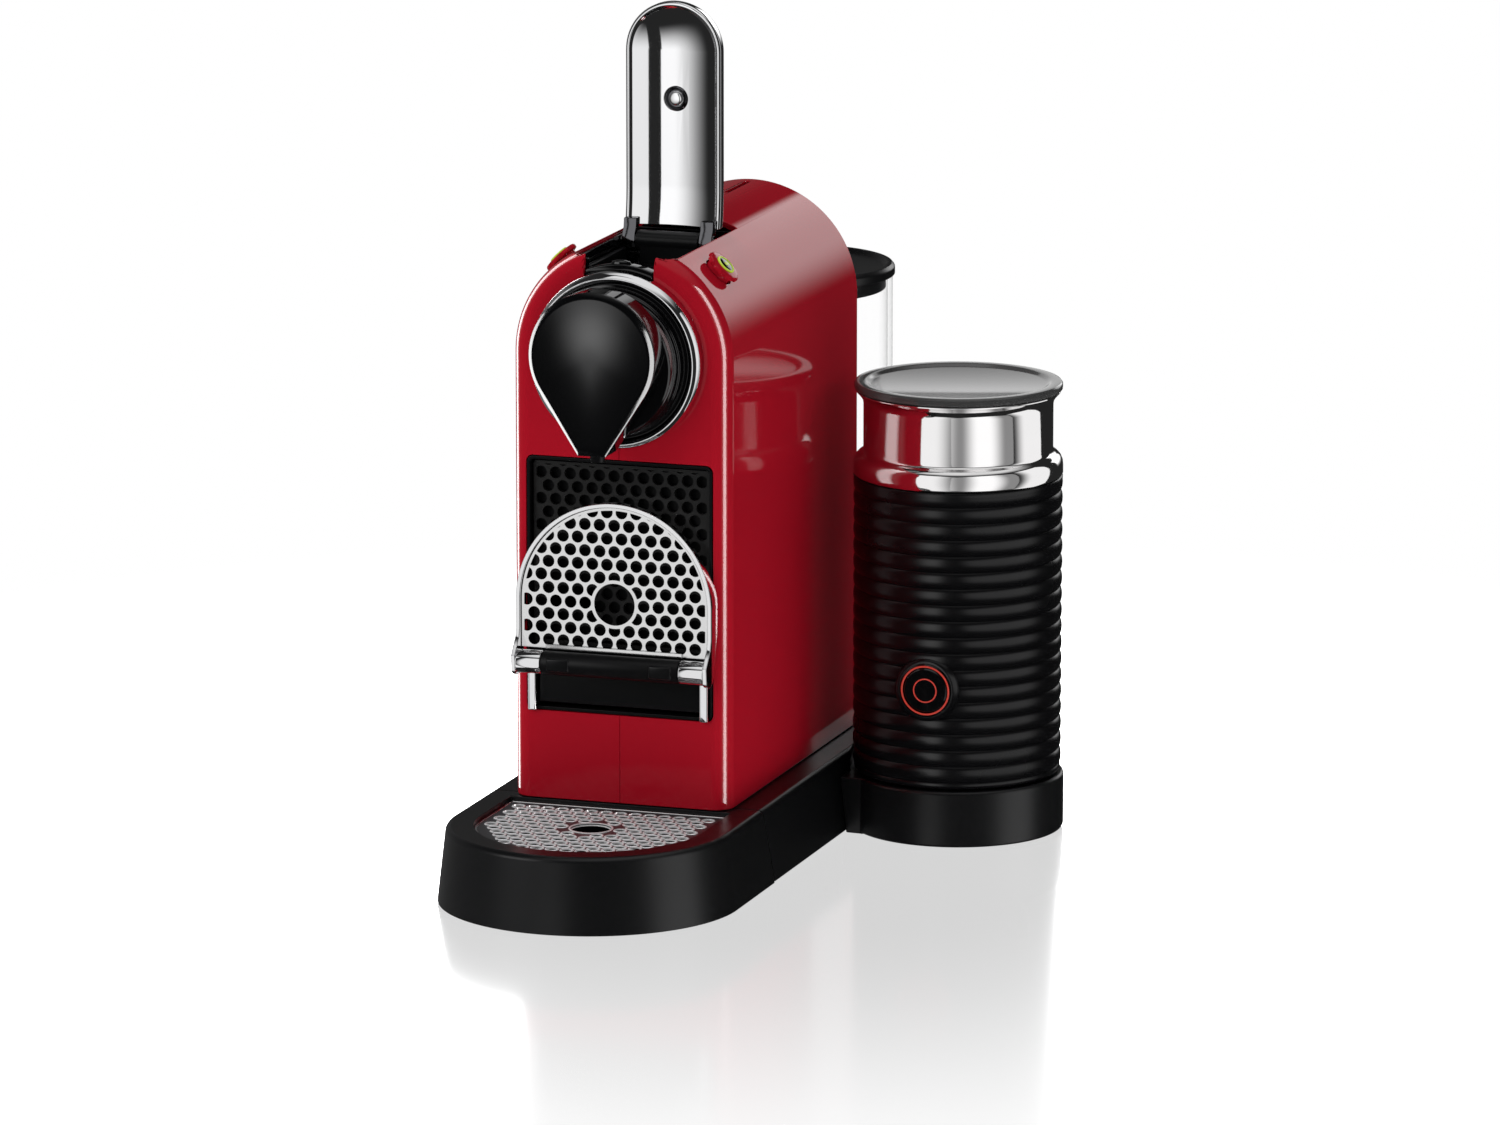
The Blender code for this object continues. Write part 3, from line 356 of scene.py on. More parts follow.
# ------------------------------------------------------------------- finishes
def finish(name, colour, rough, metal=0.0, shade=None, blotch=18.0, spread=0.02,
           grain=1400.0, depth=0.00001, stretch=(1, 1, 1), **sockets):
    """A moulded, painted or metal surface with its own fine variation."""
    mat = bpy.data.materials.new(name)
    mat.use_nodes = True
    nodes, links = mat.node_tree.nodes, mat.node_tree.links
    shader = nodes["Principled BSDF"]
    shader.inputs["Metallic"].default_value = metal
    for socket, value in sockets.items():
        shader.inputs[socket.replace("_", " ")].default_value = value
    coord = nodes.new("ShaderNodeTexCoord")
    place = nodes.new("ShaderNodeMapping")
    place.inputs["Scale"].default_value = stretch
    links.new(coord.outputs["Object"], place.inputs["Vector"])
    cloud = nodes.new("ShaderNodeTexNoise")
    cloud.inputs["Scale"].default_value = blotch
    cloud.inputs["Detail"].default_value = 3.0
    links.new(place.outputs["Vector"], cloud.inputs["Vector"])
    gloss = nodes.new("ShaderNodeMapRange")
    gloss.inputs["From Min"].default_value = 0.3
    gloss.inputs["From Max"].default_value = 0.7
    gloss.inputs["To Min"].default_value = max(0.0, rough - spread)
    gloss.inputs["To Max"].default_value = rough + spread
    links.new(cloud.outputs["Fac"], gloss.inputs["Value"])
    links.new(gloss.outputs["Result"], shader.inputs["Roughness"])
    tint = nodes.new("ShaderNodeMix")
    tint.data_type = "RGBA"
    tint.inputs["A"].default_value = (*colour, 1.0)
    tint.inputs["B"].default_value = (*(shade or [c * 0.94 for c in colour]), 1.0)
    links.new(cloud.outputs["Fac"], tint.inputs["Factor"])
    links.new(tint.outputs["Result"], shader.inputs["Base Color"])
    fine = nodes.new("ShaderNodeTexNoise")
    fine.inputs["Scale"].default_value = grain
    fine.inputs["Detail"].default_value = 2.0
    links.new(place.outputs["Vector"], fine.inputs["Vector"])
    bump = nodes.new("ShaderNodeBump")
    bump.inputs["Strength"].default_value = 0.4
    bump.inputs["Distance"].default_value = depth
    links.new(fine.outputs["Fac"], bump.inputs["Height"])
    links.new(bump.outputs["Normal"], shader.inputs["Normal"])
    return mat


def see_through(name, colour, rough, facing, grazing, blend, start=0.0, **sockets):
    """Clear plastic: nearly open face on, and denser where it turns away, past the start."""
    mat = finish(name, colour, rough, spread=0.01, depth=0.000002, **sockets)
    nodes, links = mat.node_tree.nodes, mat.node_tree.links
    angle = nodes.new("ShaderNodeLayerWeight")
    angle.inputs["Blend"].default_value = blend
    cover = nodes.new("ShaderNodeMapRange")
    cover.inputs["From Min"].default_value = start
    cover.inputs["To Min"].default_value = facing
    cover.inputs["To Max"].default_value = grazing
    links.new(angle.outputs["Facing"], cover.inputs["Value"])
    links.new(cover.outputs["Result"], nodes["Principled BSDF"].inputs["Alpha"])
    return mat


RED = finish("red_gloss_paint", (0.325, 0.0060, 0.0150), 0.06, shade=(0.310, 0.0052, 0.0135),
             blotch=9, spread=0.01, grain=500, depth=0.0000015, Specular_IOR_Level=0.18)
SATIN = finish("black_satin_moulding", (0.0036, 0.0037, 0.0042), 0.32, shade=(0.0030, 0.0031, 0.0035),
               spread=0.03, grain=2600, depth=0.00002, Specular_IOR_Level=0.34)
DEEP = finish("black_inner_moulding", (0.0028, 0.0028, 0.0032), 0.40, spread=0.04, grain=1800,
              depth=0.00002, Specular_IOR_Level=0.25)
GLOSS = finish("black_gloss_moulding", (0.0018, 0.0018, 0.0021), 0.06, spread=0.015, grain=300,
               depth=0.000001)
RIBBED = finish("black_ribbed_coat", (0.0022, 0.0022, 0.0026), 0.26, spread=0.03, grain=2400, depth=0.00001,
                Specular_IOR_Level=0.22)
DOME = finish("domed_black_gloss", (0.0016, 0.0017, 0.0020), 0.12, spread=0.01, grain=300, depth=0.000001)
PANEL = finish("dark_grey_panel", (0.0095, 0.0093, 0.0092), 0.40, spread=0.04, grain=2200, depth=0.00002)
CHROME = finish("polished_chrome", (0.86, 0.86, 0.87), 0.045, 1.0, shade=(0.83, 0.83, 0.84),
                spread=0.01, grain=600, depth=0.0000008)
DARK_CHROME = finish("dark_chrome", (0.16, 0.16, 0.17), 0.12, 1.0, spread=0.02, grain=600, depth=0.000002)
BRUSHED = finish("brushed_chrome", (0.50, 0.50, 0.51), 0.26, 1.0, spread=0.05, stretch=(1, 1, 14),
                 grain=900, depth=0.00002)
STEEL = finish("polished_steel_band", (0.83, 0.82, 0.82), 0.06, 1.0, spread=0.015,
               stretch=(0.02, 0.02, 3.0), grain=900, depth=0.000002)
PUNCHED = finish("punched_steel_sheet", (0.80, 0.80, 0.80), 0.17, 1.0, spread=0.04, stretch=(0.1, 1, 1),
                 grain=1800, depth=0.000006)
# Painted light on the drip grid: its one stainless steel comes in two copies, the flat sheet darkened as
# painted shade and the collars and eye made near white as painted glints.
GRID_SHADED_STEEL = finish("drip_grid_shade_painted_steel", (0.07, 0.07, 0.075), 0.34, 0.6, spread=0.05, grain=1300,
                    depth=0.00002)
GRID_GLINT_STEEL = finish("drip_grid_glint_painted_steel", (0.92, 0.92, 0.93), 0.30, 0.5, spread=0.05, grain=1300,
                    depth=0.00002)
RUBBER = finish("black_rubber", (0.012, 0.012, 0.012), 0.75, spread=0.06, grain=1500, depth=0.00004)
GREY = finish("grey_moulding", (0.22, 0.22, 0.23), 0.48, spread=0.04, grain=1800, depth=0.00003)
ALUMINIUM = finish("cast_aluminium", (0.58, 0.58, 0.60), 0.40, 1.0, spread=0.08, grain=900, depth=0.00005)
MOTOR = finish("plated_motor_can", (0.62, 0.61, 0.58), 0.30, 1.0, spread=0.06, stretch=(1, 1, 8),
               depth=0.00001)
BOARD = finish("green_board", (0.020, 0.160, 0.060), 0.45, shade=(0.014, 0.110, 0.040), blotch=260,
               spread=0.1, grain=700, depth=0.00008)
CLEAR = see_through("clear_tank_plastic", (0.42, 0.42, 0.43), 0.03, 0.004, 1.0, 0.10, 0.16,
                    Specular_IOR_Level=0.1)
SMOKED = see_through("smoked_lid_plastic", (0.050, 0.050, 0.050), 0.12, 0.82, 1.10, 0.35)
LIME = finish("lime_ring", (0.42, 0.55, 0.04), 0.30, spread=0.03,
              Emission_Color=(0.55, 0.75, 0.05, 1.0), Emission_Strength=0.12)
GLOW = finish("glowing_red_ring", (0.42, 0.030, 0.020), 0.30, spread=0.03,
              Emission_Color=(1.0, 0.09, 0.03, 1.0), Emission_Strength=0.08)


def repaint(material, *nodes):
    """Gives carried-over parts of the frame their finish."""
    for name in nodes:
        slots = frame["nodes"][name].data.materials
        slots.clear()
        slots.append(material)


# ---------------------------------------------------------------- body casing
def body_arch(half, edge, bottom, front, back):
    """The arch with its front edge rounded, and its foot left square."""
    bm = arch(half, ARCH_Z, bottom - 0.02, front, back)
    loop = [e for e in bm.edges if all(abs(v.co.y - front) < 1e-6 for v in e.verts)]
    bmesh.ops.bevel(
        bm, geom=loop, offset=edge, offset_type="OFFSET", segments=12, profile=0.5,
        affect="EDGES", clamp_overlap=True, material=-1,
    )
    return halved(bm, (0, 0, bottom), (0, 0, -1))


def slot_plan(inset, low, high):
    """The slot from above: wide over the lever, rounded in to a throat at the front."""
    wide, throat = SLOT_HALF - inset, SLOT_THROAT - inset
    back, step = SLOT_BACK - inset, SLOT_STEP + inset
    bm = bmesh.new()
    right = [(wide, back), (wide, step), (throat, step), (throat, -0.010)]
    outline = right + [(-x, y) for x, y in reversed(right)]
    bm.faces.new([bm.verts.new((x, y, low)) for x, y in outline])
    corner = [v for v in bm.verts if abs(v.co.x) > throat + 1e-4 and v.co.y < 0.01]
    bmesh.ops.bevel(
        bm, geom=corner, offset=wide - throat - 0.0004, offset_type="OFFSET",
        segments=8, profile=0.5, affect="VERTICES", material=-1,
    )
    pushed(bm, bm.faces[:], (0, 0, high - low))
    return bm


def shoulder(side):
    """Turns Z to the arch's outward normal where a coffee button sits."""
    lean = Matrix.Rotation(side * math.radians(45), 4, "Y")
    return Matrix.Translation((0, BUTTON_PLACE, ARCH_Z)) @ lean


def red_casing():
    whole = body_arch(HALF, FRONT_EDGE, BOTTOM, 0.0, DEPTH)
    inner = body_arch(HALF - WALL, FRONT_EDGE - WALL, BOTTOM - 0.01, WALL, DEPTH + 0.01)
    bay = cut_to(
        [(-BAY_HALF, BAY_LOW), (BAY_HALF, BAY_LOW), (BAY_HALF, BAY_HIGH), (-BAY_HALF, BAY_HIGH)],
        -0.01, 0.01, "Y", BAY_CORNER, 6,
    )
    ring_seat = rod(RING_OUTER - 0.0022, -0.01, 0.02, 96, "Y", (0, 0, ARCH_Z))
    vent = brick((-0.0012, 0.0012), (0.1375, 0.1680), (0.26, 0.28), 0.0010)
    whole = without(whole, inner, bay, slot_plan(0.0, 0.2440, 0.29), ring_seat, vent)
    for side in (-1, 1):
        stem = rod(0.0066, 0.03, 0.06, 48)
        bmesh.ops.transform(stem, matrix=shoulder(side), verts=stem.verts)
        whole = without(whole, stem)
    whole = eased(whole, 0.0005)
    halves = []
    for name, side in (("left", -1), ("right", 1)):
        half = halved(whole.copy(), (side * SEAM / 2, 0, 0), (-side, 0, 0))
        halves.append(piece(
            f"red_shell_{name}", half, RED, "machine", "red_gloss", f"casing_{name}",
            angle=30, weighted=True,
        ))
    whole.free()
    return halves


def rear_panel():
    front = DEPTH + 0.0003
    bm = arch(HALF - 0.0011, ARCH_Z, BOTTOM, front, front + 0.0022)
    recess = arch(HALF - 0.0050, ARCH_Z, BOTTOM + 0.0050, front + 0.0014, front + 0.01)
    slots = []
    for row in range(9):
        z = 0.1900 + row * 0.0052
        slots.append(brick((-0.0220, 0.0220), (front - 0.01, front + 0.01), (z, z + 0.0020)))
    bm = without(bm, recess, joined(*slots))
    piece("back_panel", eased(bm, 0.0004), SATIN, "machine", "black_satin", "back_cover", weighted=True)
    for i, side in enumerate((-1, 1)):
        back = front + 0.0022 + 0.0003
        profile = [(0, -back - 0.0006), (0.0009, -back - 0.0006), (0.0012, -back - 0.0013),
                   (0.0026, -back - 0.0013), (0.0032, -back - 0.0006), (0.0032, -back), (0, -back)]
        screw = turned(profile, 40, "Y", (side * 0.0330, 0, 0.0600))
        piece(f"panel_screw_{i + 1}", softened(screw, 0.0001, 1), BRUSHED, "machine", "steel",
              f"back_screw_{i + 1}")


# --------------------------------------------------------------- capsule slot
def lip_band(inner, outer, front, back):
    """A slice of a ring over the outlet, as wide as the throat."""
    half = SLOT_THROAT - 0.0003
    bm = bmesh.new()
    arcs = []
    for radius in (inner, outer):
        lean = math.asin(half / radius)
        start = (radius * math.sin(lean), front, ARCH_Z + radius * math.cos(lean))
        arcs.append(ring_of_points(bm, start, (0, 0, ARCH_Z), (0, -1, 0), 2 * lean, 24))
    pushed(bm, [bm.faces.new(arcs[0] + arcs[1][::-1])], (0, back - front, 0))
    return bm


def slot_funnel():
    tub = slot_plan(0.0003, 0.2440, SLOT_RIM)
    tub = halved(tub, (0, 0.0046, 0), (0, -1, 0))
    hollow = slot_plan(0.0021, SLOT_FLOOR, 0.29)
    hollow = halved(hollow, (0, 0.0064, 0), (0, -1, 0))
    shaft = brick((-0.0195, 0.0195), (0.0140, 0.0440), (0.23, 0.26), 0.0030)
    over_lip = lip_band(0.0386, 0.0600, 0.0, 0.0070)
    tub = without(tub, hollow, over_lip, shaft)
    tub = eased(tub, 0.0005, 3)
    piece("slot_funnel", tub, GLOSS, "machine", "black_satin", "capsule_slot_liner", weighted=True)
    lip = softened(lip_band(RING_OUTER - 0.0016, 0.0396, 0.0006, 0.0063), 0.0007, 4)
    piece("slot_front_lip", lip, GLOSS, "machine", "black_gloss")
    bump = turned([(0, 0), (0.0030, 0), (0.0026, 0.0009), (0.0014, 0.0014), (0, 0.0016)], 32)
    bmesh.ops.scale(bump, vec=(1.5, 0.75, 1), verts=bump.verts)
    bmesh.ops.translate(bump, verts=bump.verts, vec=(0, 0.0036, ARCH_Z + 0.0395))
    piece("slot_lip_button", bump, GLOSS, "machine", "black_gloss")
    rails = []
    for side in (-1, 1):
        x = sorted((side * 0.0172, side * 0.0196))
        rails.append(softened(brick(x, (0.0080, 0.0600), (SLOT_FLOOR, 0.2585)), 0.0008, 3))
    piece("capsule_guide_rails", joined(*rails), DEEP, "machine", "black_satin")
    bearing = welded(
        brick((-0.0120, 0.0120), (0.0610, 0.0680), (SLOT_FLOOR - 0.0005, AXLE.z)),
        rod(0.0042, -0.0138, 0.0138, 48, "X", AXLE),
    )
    bearing = without(bearing, rod(0.0023, -0.03, 0.03, 32, "X", AXLE))
    piece("lever_bearing", eased(bearing, 0.0003), SATIN, "machine", "black_satin", weighted=True)


# -------------------------------------------------------------------- outlet
def teardrop_wire(bm, inset, y):
    """The outlet's outline: a circle drawn down to a narrow spout."""
    radius = HEAD_RADIUS - inset
    half = HEAD_TIP_HALF - inset * 0.6
    tip_z = HEAD_TIP_Z + inset
    reach = math.hypot(half, HEAD_Z - tip_z)
    lean = math.acos(radius / reach) + math.atan2(HEAD_Z - tip_z, -half)
    start = lean - math.pi
    first = (radius * math.cos(start), y, HEAD_Z + radius * math.sin(start))
    arc = ring_of_points(
        bm, first, (0, y, HEAD_Z), (0, -1, 0), math.pi - 2 * start, 72
    )
    corners = [bm.verts.new((half, y, tip_z)), bm.verts.new((-half, y, tip_z))]
    return [corners[0]] + arc + [corners[1]]


def teardrop(inset, front, back):
    bm = bmesh.new()
    pushed(bm, [bm.faces.new(teardrop_wire(bm, inset, front))], (0, back - front, 0))
    return bm


def coffee_outlet():
    centre = (0, 0, ARCH_Z)
    ring = [(RING_INNER, -0.0040), (RING_OUTER - 0.0025, -0.0040), (RING_OUTER - 0.0025, 0.0003),
            (RING_OUTER, 0.0003), (RING_OUTER, 0.0048), (RING_OUTER - 0.0009, 0.0068),
            (RING_OUTER - 0.0022, 0.0079), (RING_INNER + 0.0012, 0.0079), (RING_INNER, 0.0066)]
    piece("outlet_trim_ring", softened(turned(ring, 128, "Y", centre), 0.0005, 4, 18), CHROME, "machine",
          "chrome", "outlet_ring")
    rim = RING_INNER - 0.0003
    step = [(0.0270, -0.0030), (rim, -0.0030), (rim, 0.0058), (0.0322, 0.0064), (0.0310, 0.0067),
            (0.0308, 0.0112), (0.0301, 0.0116), (0.0299, 0.0150), (0.0294, 0.0154), (0.0292, 0.0190),
            (0.0284, 0.0200), (0, 0.0200), (0, 0.0165), (0.0270, 0.0165)]
    piece("outlet_stepped_bezel", softened(turned(step, 128, "Y", centre), 0.0003, 3, 20), GLOSS, "machine",
          "black_gloss", "outlet_bezel")
    head = without(
        teardrop(0.0, -0.0330, -0.0203), rod(0.0034, 0.17, 0.1990, 32, "Z", (0, -0.0265, 0))
    )
    piece("outlet_head_shell", eased(head, 0.0007, 3), GLOSS, "machine", "black_gloss", "outlet_head",
          weighted=True)
    tip = HEAD_TIP_Z
    spout = [(0.0014, tip - 0.0035), (0.0031, tip - 0.0035), (0.0031, tip + 0.0110), (0.0014, tip + 0.0110)]
    piece("coffee_nozzle", softened(turned(spout, 48, "Z", (0, -0.0265, 0)), 0.0003), DEEP, "machine",
          "black_satin", "coffee_spout")
    bm = bmesh.new()
    loop = teardrop_wire(bm, 0.0, -0.0333)
    bm.faces.new(loop)
    edges = list(bm.faces[:][0].edges)
    crown = [(1.0, 0.0004), (0.997, 0.0006), (0.944, 0.00155), (0.938, 0.00162), (0.90, 0.00171),
             (0.82, 0.00189), (0.72, 0.00211), (0.60, 0.00234), (0.48, 0.00253), (0.36, 0.00269),
             (0.24, 0.00280), (0.12, 0.00286)]
    size, rise = 1.0, 0.0
    centre_mark = Matrix.Translation((0, 0, -HEAD_Z))
    for scale, height in crown:
        grown = bmesh.ops.extrude_edge_only(bm, edges=edges)["geom"]
        verts = [g for g in grown if isinstance(g, bmesh.types.BMVert)]
        edges = [g for g in grown if isinstance(g, bmesh.types.BMEdge)]
        k = scale / size
        bmesh.ops.scale(bm, vec=(k, 1, k), space=centre_mark, verts=verts)
        bmesh.ops.translate(bm, verts=verts, vec=(0, rise - height, 0))
        size, rise = scale, height
    bmesh.ops.holes_fill(bm, edges=edges, sides=0)
    return piece("outlet_domed_cover", bm, DOME, "machine", "black_gloss", "outlet_cover", angle=24)


# ------------------------------------------------------------- coffee buttons
def coffee_buttons():
    skin = HALF
    for side, word in ((-1, "left"), (1, "right")):
        place = shoulder(side)
        body, name = f"coffee_button_{word}", f"button_{word}"
        cap = [(0, skin - 0.0070), (0.0060, skin - 0.0070), (0.0060, skin + 0.0017), (0.0078, skin + 0.0018),
               (0.0080, skin + 0.0028), (0.0073, skin + 0.0037), (0.0052, skin + 0.0040), (0, skin + 0.0040)]
        cap = softened(turned(cap, 72), 0.0003, 3, 20)
        bays = []
        for i in range(8):
            turn = math.tau * (i + 0.5) / 8
            bays.append(rod(0.0017, skin + 0.0005, skin + 0.0100, 20, "Z",
                            (0.0087 * math.cos(turn), 0.0087 * math.sin(turn), 0)))
        cap = eased(without(cap, joined(*bays)), 0.0002)
        ring = turned([(0.0034, skin + 0.0036), (0.0044, skin + 0.0036), (0.0044, skin + 0.0044),
                       (0.0041, skin + 0.0047), (0.0034, skin + 0.0045)], 64)
        face = turned([(0, skin + 0.0036), (0.0035, skin + 0.0036), (0.0035, skin + 0.0044),
                       (0.0028, skin + 0.0046), (0.0016, skin + 0.0047), (0, skin + 0.0047)], 64)
        drop = turned([(0, skin + 0.0044), (0.0010, skin + 0.0044), (0.0010, skin + 0.0049),
                       (0, skin + 0.0050)], 24)
        bmesh.ops.scale(drop, vec=(1.0, 1.5, 1), verts=drop.verts)
        for part, shape, material, slot, nodes in (
            ("petal_cap", cap, RED, "red_gloss", (body,)),
            ("lime_band", ring, LIME, "grey_plastic", ()),
            ("dark_face", face, GLOSS, "black_gloss", ()),
            ("cup_mark", drop, LIME, "grey_plastic", ()),
        ):
            bmesh.ops.transform(shape, matrix=place, verts=shape.verts)
            piece(f"{name}_{part}", shape, material, body, slot, *nodes)


# ---------------------------------------------------------------------- lever
def lever():
    centre_z = LEVER_TOP - LEVER_HALF
    bowl = 0.0512  # radius that hollows the lever's face
    reach = (0.0, 0.0030, 0.0060, 0.0090, 0.0120, 0.0145, 0.0165, 0.0178)
    dish = [(r, 0.0736 - r * r / (2 * bowl)) for r in reach]
    dish += [(0.0184, 0.0704), (0.0188, 0.0699), (0.0192, 0.0695), (0.0198, 0.0693), (0.0204, 0.0694),
             (0.0208, 0.0698), (0.0210, 0.0704), (0.0210, 0.0735), (0.0206, 0.0751), (0.0197, 0.0761),
             (0.0180, 0.0765), (0, 0.0765)]
    bm = bmesh.new()
    points = [bm.verts.new((r, y, centre_z)) for r, y in dish]
    for a, b in zip(points, points[1:]):
        bm.edges.new((a, b))
    bmesh.ops.spin(
        bm, geom=bm.verts[:] + bm.edges[:], cent=(0, 0, centre_z), axis=(0, -1, 0),
        angle=math.pi, steps=64,
    )
    bmesh.ops.remove_doubles(bm, verts=bm.verts, dist=1e-6)
    open_end = [e for e in bm.edges if e.is_boundary]
    bend = 0.0170  # height of the lever's foot that bends forward
    heights = [centre_z, LEVER_FOOT + bend] + [LEVER_FOOT + bend * (1 - i / 10) for i in range(1, 11)]
    for above, below in zip(heights, heights[1:]):
        grown = bmesh.ops.extrude_edge_only(bm, edges=open_end)["geom"]
        verts = [g for g in grown if isinstance(g, bmesh.types.BMVert)]
        open_end = [g for g in grown if isinstance(g, bmesh.types.BMEdge)]
        lean = max(0.0, LEVER_FOOT + bend - below) ** 2 - max(0.0, LEVER_FOOT + bend - above) ** 2
        bmesh.ops.translate(bm, verts=verts, vec=(0, -lean / 0.18, below - above))
    bmesh.ops.holes_fill(bm, edges=[e for e in bm.edges if e.is_boundary], sides=0)
    hole = rod(0.0052, -0.0752, -0.0600, 48, "Y", (0, 0, RIVET_Z))
    body = without(bm, hole)
    piece("lever_spoon", eased(body, 0.0003, 2, 40), CHROME, "lever", "chrome", "lever", angle=40,
          weighted=True)
    for side, word in ((-1, "left"), (1, "right")):
        lug = cut_to([(0.0672, 0.2702), (0.0668, 0.2600), (0.0650, 0.2573), (0.0622, 0.2578),
                      (0.0606, 0.2604), (0.0612, 0.2640), (0.0628, 0.2664), (0.0634, 0.2702)],
                     *sorted((side * 0.0142, side * 0.0198)), "X")
        lug = without(lug, rod(0.0023, -0.03, 0.03, 32, "X", AXLE))
        piece(f"lever_lug_{word}", eased(lug, 0.0004, 2, 28), DARK_CHROME, "lever", "chrome")
    seat = turned([(0.0030, -0.0752), (0.0051, -0.0752), (0.0051, -0.0733), (0.0048, -0.0730),
                   (0.0036, -0.0745), (0.0030, -0.0746)], 48, "Y", (0, 0, RIVET_Z))
    piece("rivet_cup", seat, DARK_CHROME, "lever", "chrome")
    pin = turned([(0, -0.0749), (0.0029, -0.0749), (0.0029, -0.0731), (0.0026, -0.0727), (0.0018, -0.0725),
                  (0, -0.0725)], 48, "Y", (0, 0, RIVET_Z))
    piece("rivet_pin", softened(pin, 0.0001, 2), CHROME, "lever", "chrome", "lever_rivet")
    axle = softened(rod(0.0020, -0.0215, 0.0215, 40, "X", AXLE), 0.0002)
    piece("lever_pin", axle, BRUSHED, "machine", "steel", "lever_axle")


# --------------------------------------------------------- drawer and cup tray
def drawer():
    liner = cut_to(
        [(-BAY_HALF + 0.0003, BAY_LOW + 0.0003), (BAY_HALF - 0.0003, BAY_LOW + 0.0003),
         (BAY_HALF - 0.0003, BAY_HIGH - 0.0003), (-BAY_HALF + 0.0003, BAY_HIGH - 0.0003)],
        0.0002, 0.0120, "Y", BAY_CORNER, 6)
    hole = cut_to(
        [(-BAY_HALF + 0.0017, BAY_LOW + 0.0017), (BAY_HALF - 0.0017, BAY_LOW + 0.0017),
         (BAY_HALF - 0.0017, BAY_HIGH - 0.0017), (-BAY_HALF + 0.0017, BAY_HIGH - 0.0017)],
        -0.01, 0.04, "Y", BAY_CORNER / 2, 6)
    piece("bay_frame", eased(without(liner, hole), 0.0003), DEEP, "machine", "black_satin",
          "drawer_bay_liner", weighted=True)
    half, low = 0.0387, BAY_LOW + 0.0023
    box = without(
        brick((-half, half), (0.0102, 0.0840), (low, 0.1500), 0.0025),
        brick((-half + 0.0018, half - 0.0018), (0.0120, 0.0822), (low + 0.0018, 0.2), 0.0015))
    piece("capsule_bin", eased(box, 0.0004), DEEP, "capsule_drawer", "black_satin", "capsule_container",
          weighted=True)
    bottom, top = 0.0992, 0.1768
    plate = cut_to([(-half, bottom), (half, bottom), (half, top), (-half, top)],
                   0.0030, 0.0054, "Y", 0.0016, 4)
    field = brick((-half + 0.0012, half - 0.0012), (-0.01, 0.02), (bottom + 0.0015, top - 0.0012))
    spots = staggered(-half, half, bottom, top + 0.0030, (HOLE_PITCH / 2, 0.1720))
    spots = [(x, z) for x, z in spots if abs(x) < half - 0.0030]
    punch = within(pins(spots, 0.0026, -0.005, 0.01, "Y"), field)
    piece("drawer_punched_front", without(plate, punch), PANEL, "capsule_drawer", "black_satin",
          "drawer_grille", angle=40)
    # A dark sheet just behind the punched front: painted shade that makes every hole read black.
    shade_sheet = brick((-half + 0.0004, half - 0.0004), (0.0064, 0.0072), (bottom, top - 0.0006))
    piece("grille_backing", softened(shade_sheet, 0.0002, 1), DEEP, "capsule_drawer", "black_satin")
    inner = brick((-0.0290, 0.0290), (HINGE.y, -0.0010), (0.0912, 0.0962))
    bar = softened(rod(0.0050, -0.0300, 0.0300, 64, "X", HINGE), 0.0003, 2)
    panel = brick((-half, half), (0.0078, 0.0099), (low, bottom - 0.0003))
    shelf = brick((-half, half), (-0.0020, 0.0079), (0.0910, bottom - 0.0003))
    frame_edges = []
    for side in (-1, 1):
        x = sorted((side * 0.0363, side * half))
        frame_edges.append(brick(x, (-0.0005, 0.0080), (low, bottom - 0.0013)))
    body = welded(panel, shelf, inner, *frame_edges)
    body = eased(body, 0.0004)
    piece("cup_rest_back", body, DEEP, "capsule_drawer", "black_satin", "cup_support", weighted=True)
    bar = without(bar, rod(0.0018, -0.05, 0.05, 32, "X", HINGE))
    piece("hinge_barrel", bar, DEEP, "capsule_drawer", "black_satin")
    tabs = []
    for x in (-0.0225, 0.0225):
        tab = brick((x - 0.0050, x + 0.0050), (-0.0148, -0.0125), (0.0910, 0.0966))
        tabs.append(softened(tab, 0.0009, 3))
    piece("hinge_tabs", joined(*tabs), SATIN, "capsule_drawer", "black_satin")
    flat = brick((-0.0356, 0.0356), (-0.0002, 0.0078), (low + 0.0014, 0.0909))
    piece("lower_panel", softened(flat, 0.0007, 4), SATIN, "capsule_drawer", "black_gloss")
    for word, side in (("left", -1), ("right", 1)):
        leg = brick(sorted((side * 0.0361, side * 0.0396)), (-0.0034, -0.0008), (BAY_LOW + 0.0004, 0.0905))
        piece(f"chrome_leg_{word}", softened(leg, 0.0006, 4), CHROME, "capsule_drawer", "chrome",
              f"trim_leg_{word}")
    pin = softened(rod(0.0015, -0.0405, 0.0405, 32, "X", HINGE), 0.0002)
    piece("hinge_rod", pin, BRUSHED, "capsule_drawer", "steel", "tray_hinge_pin")


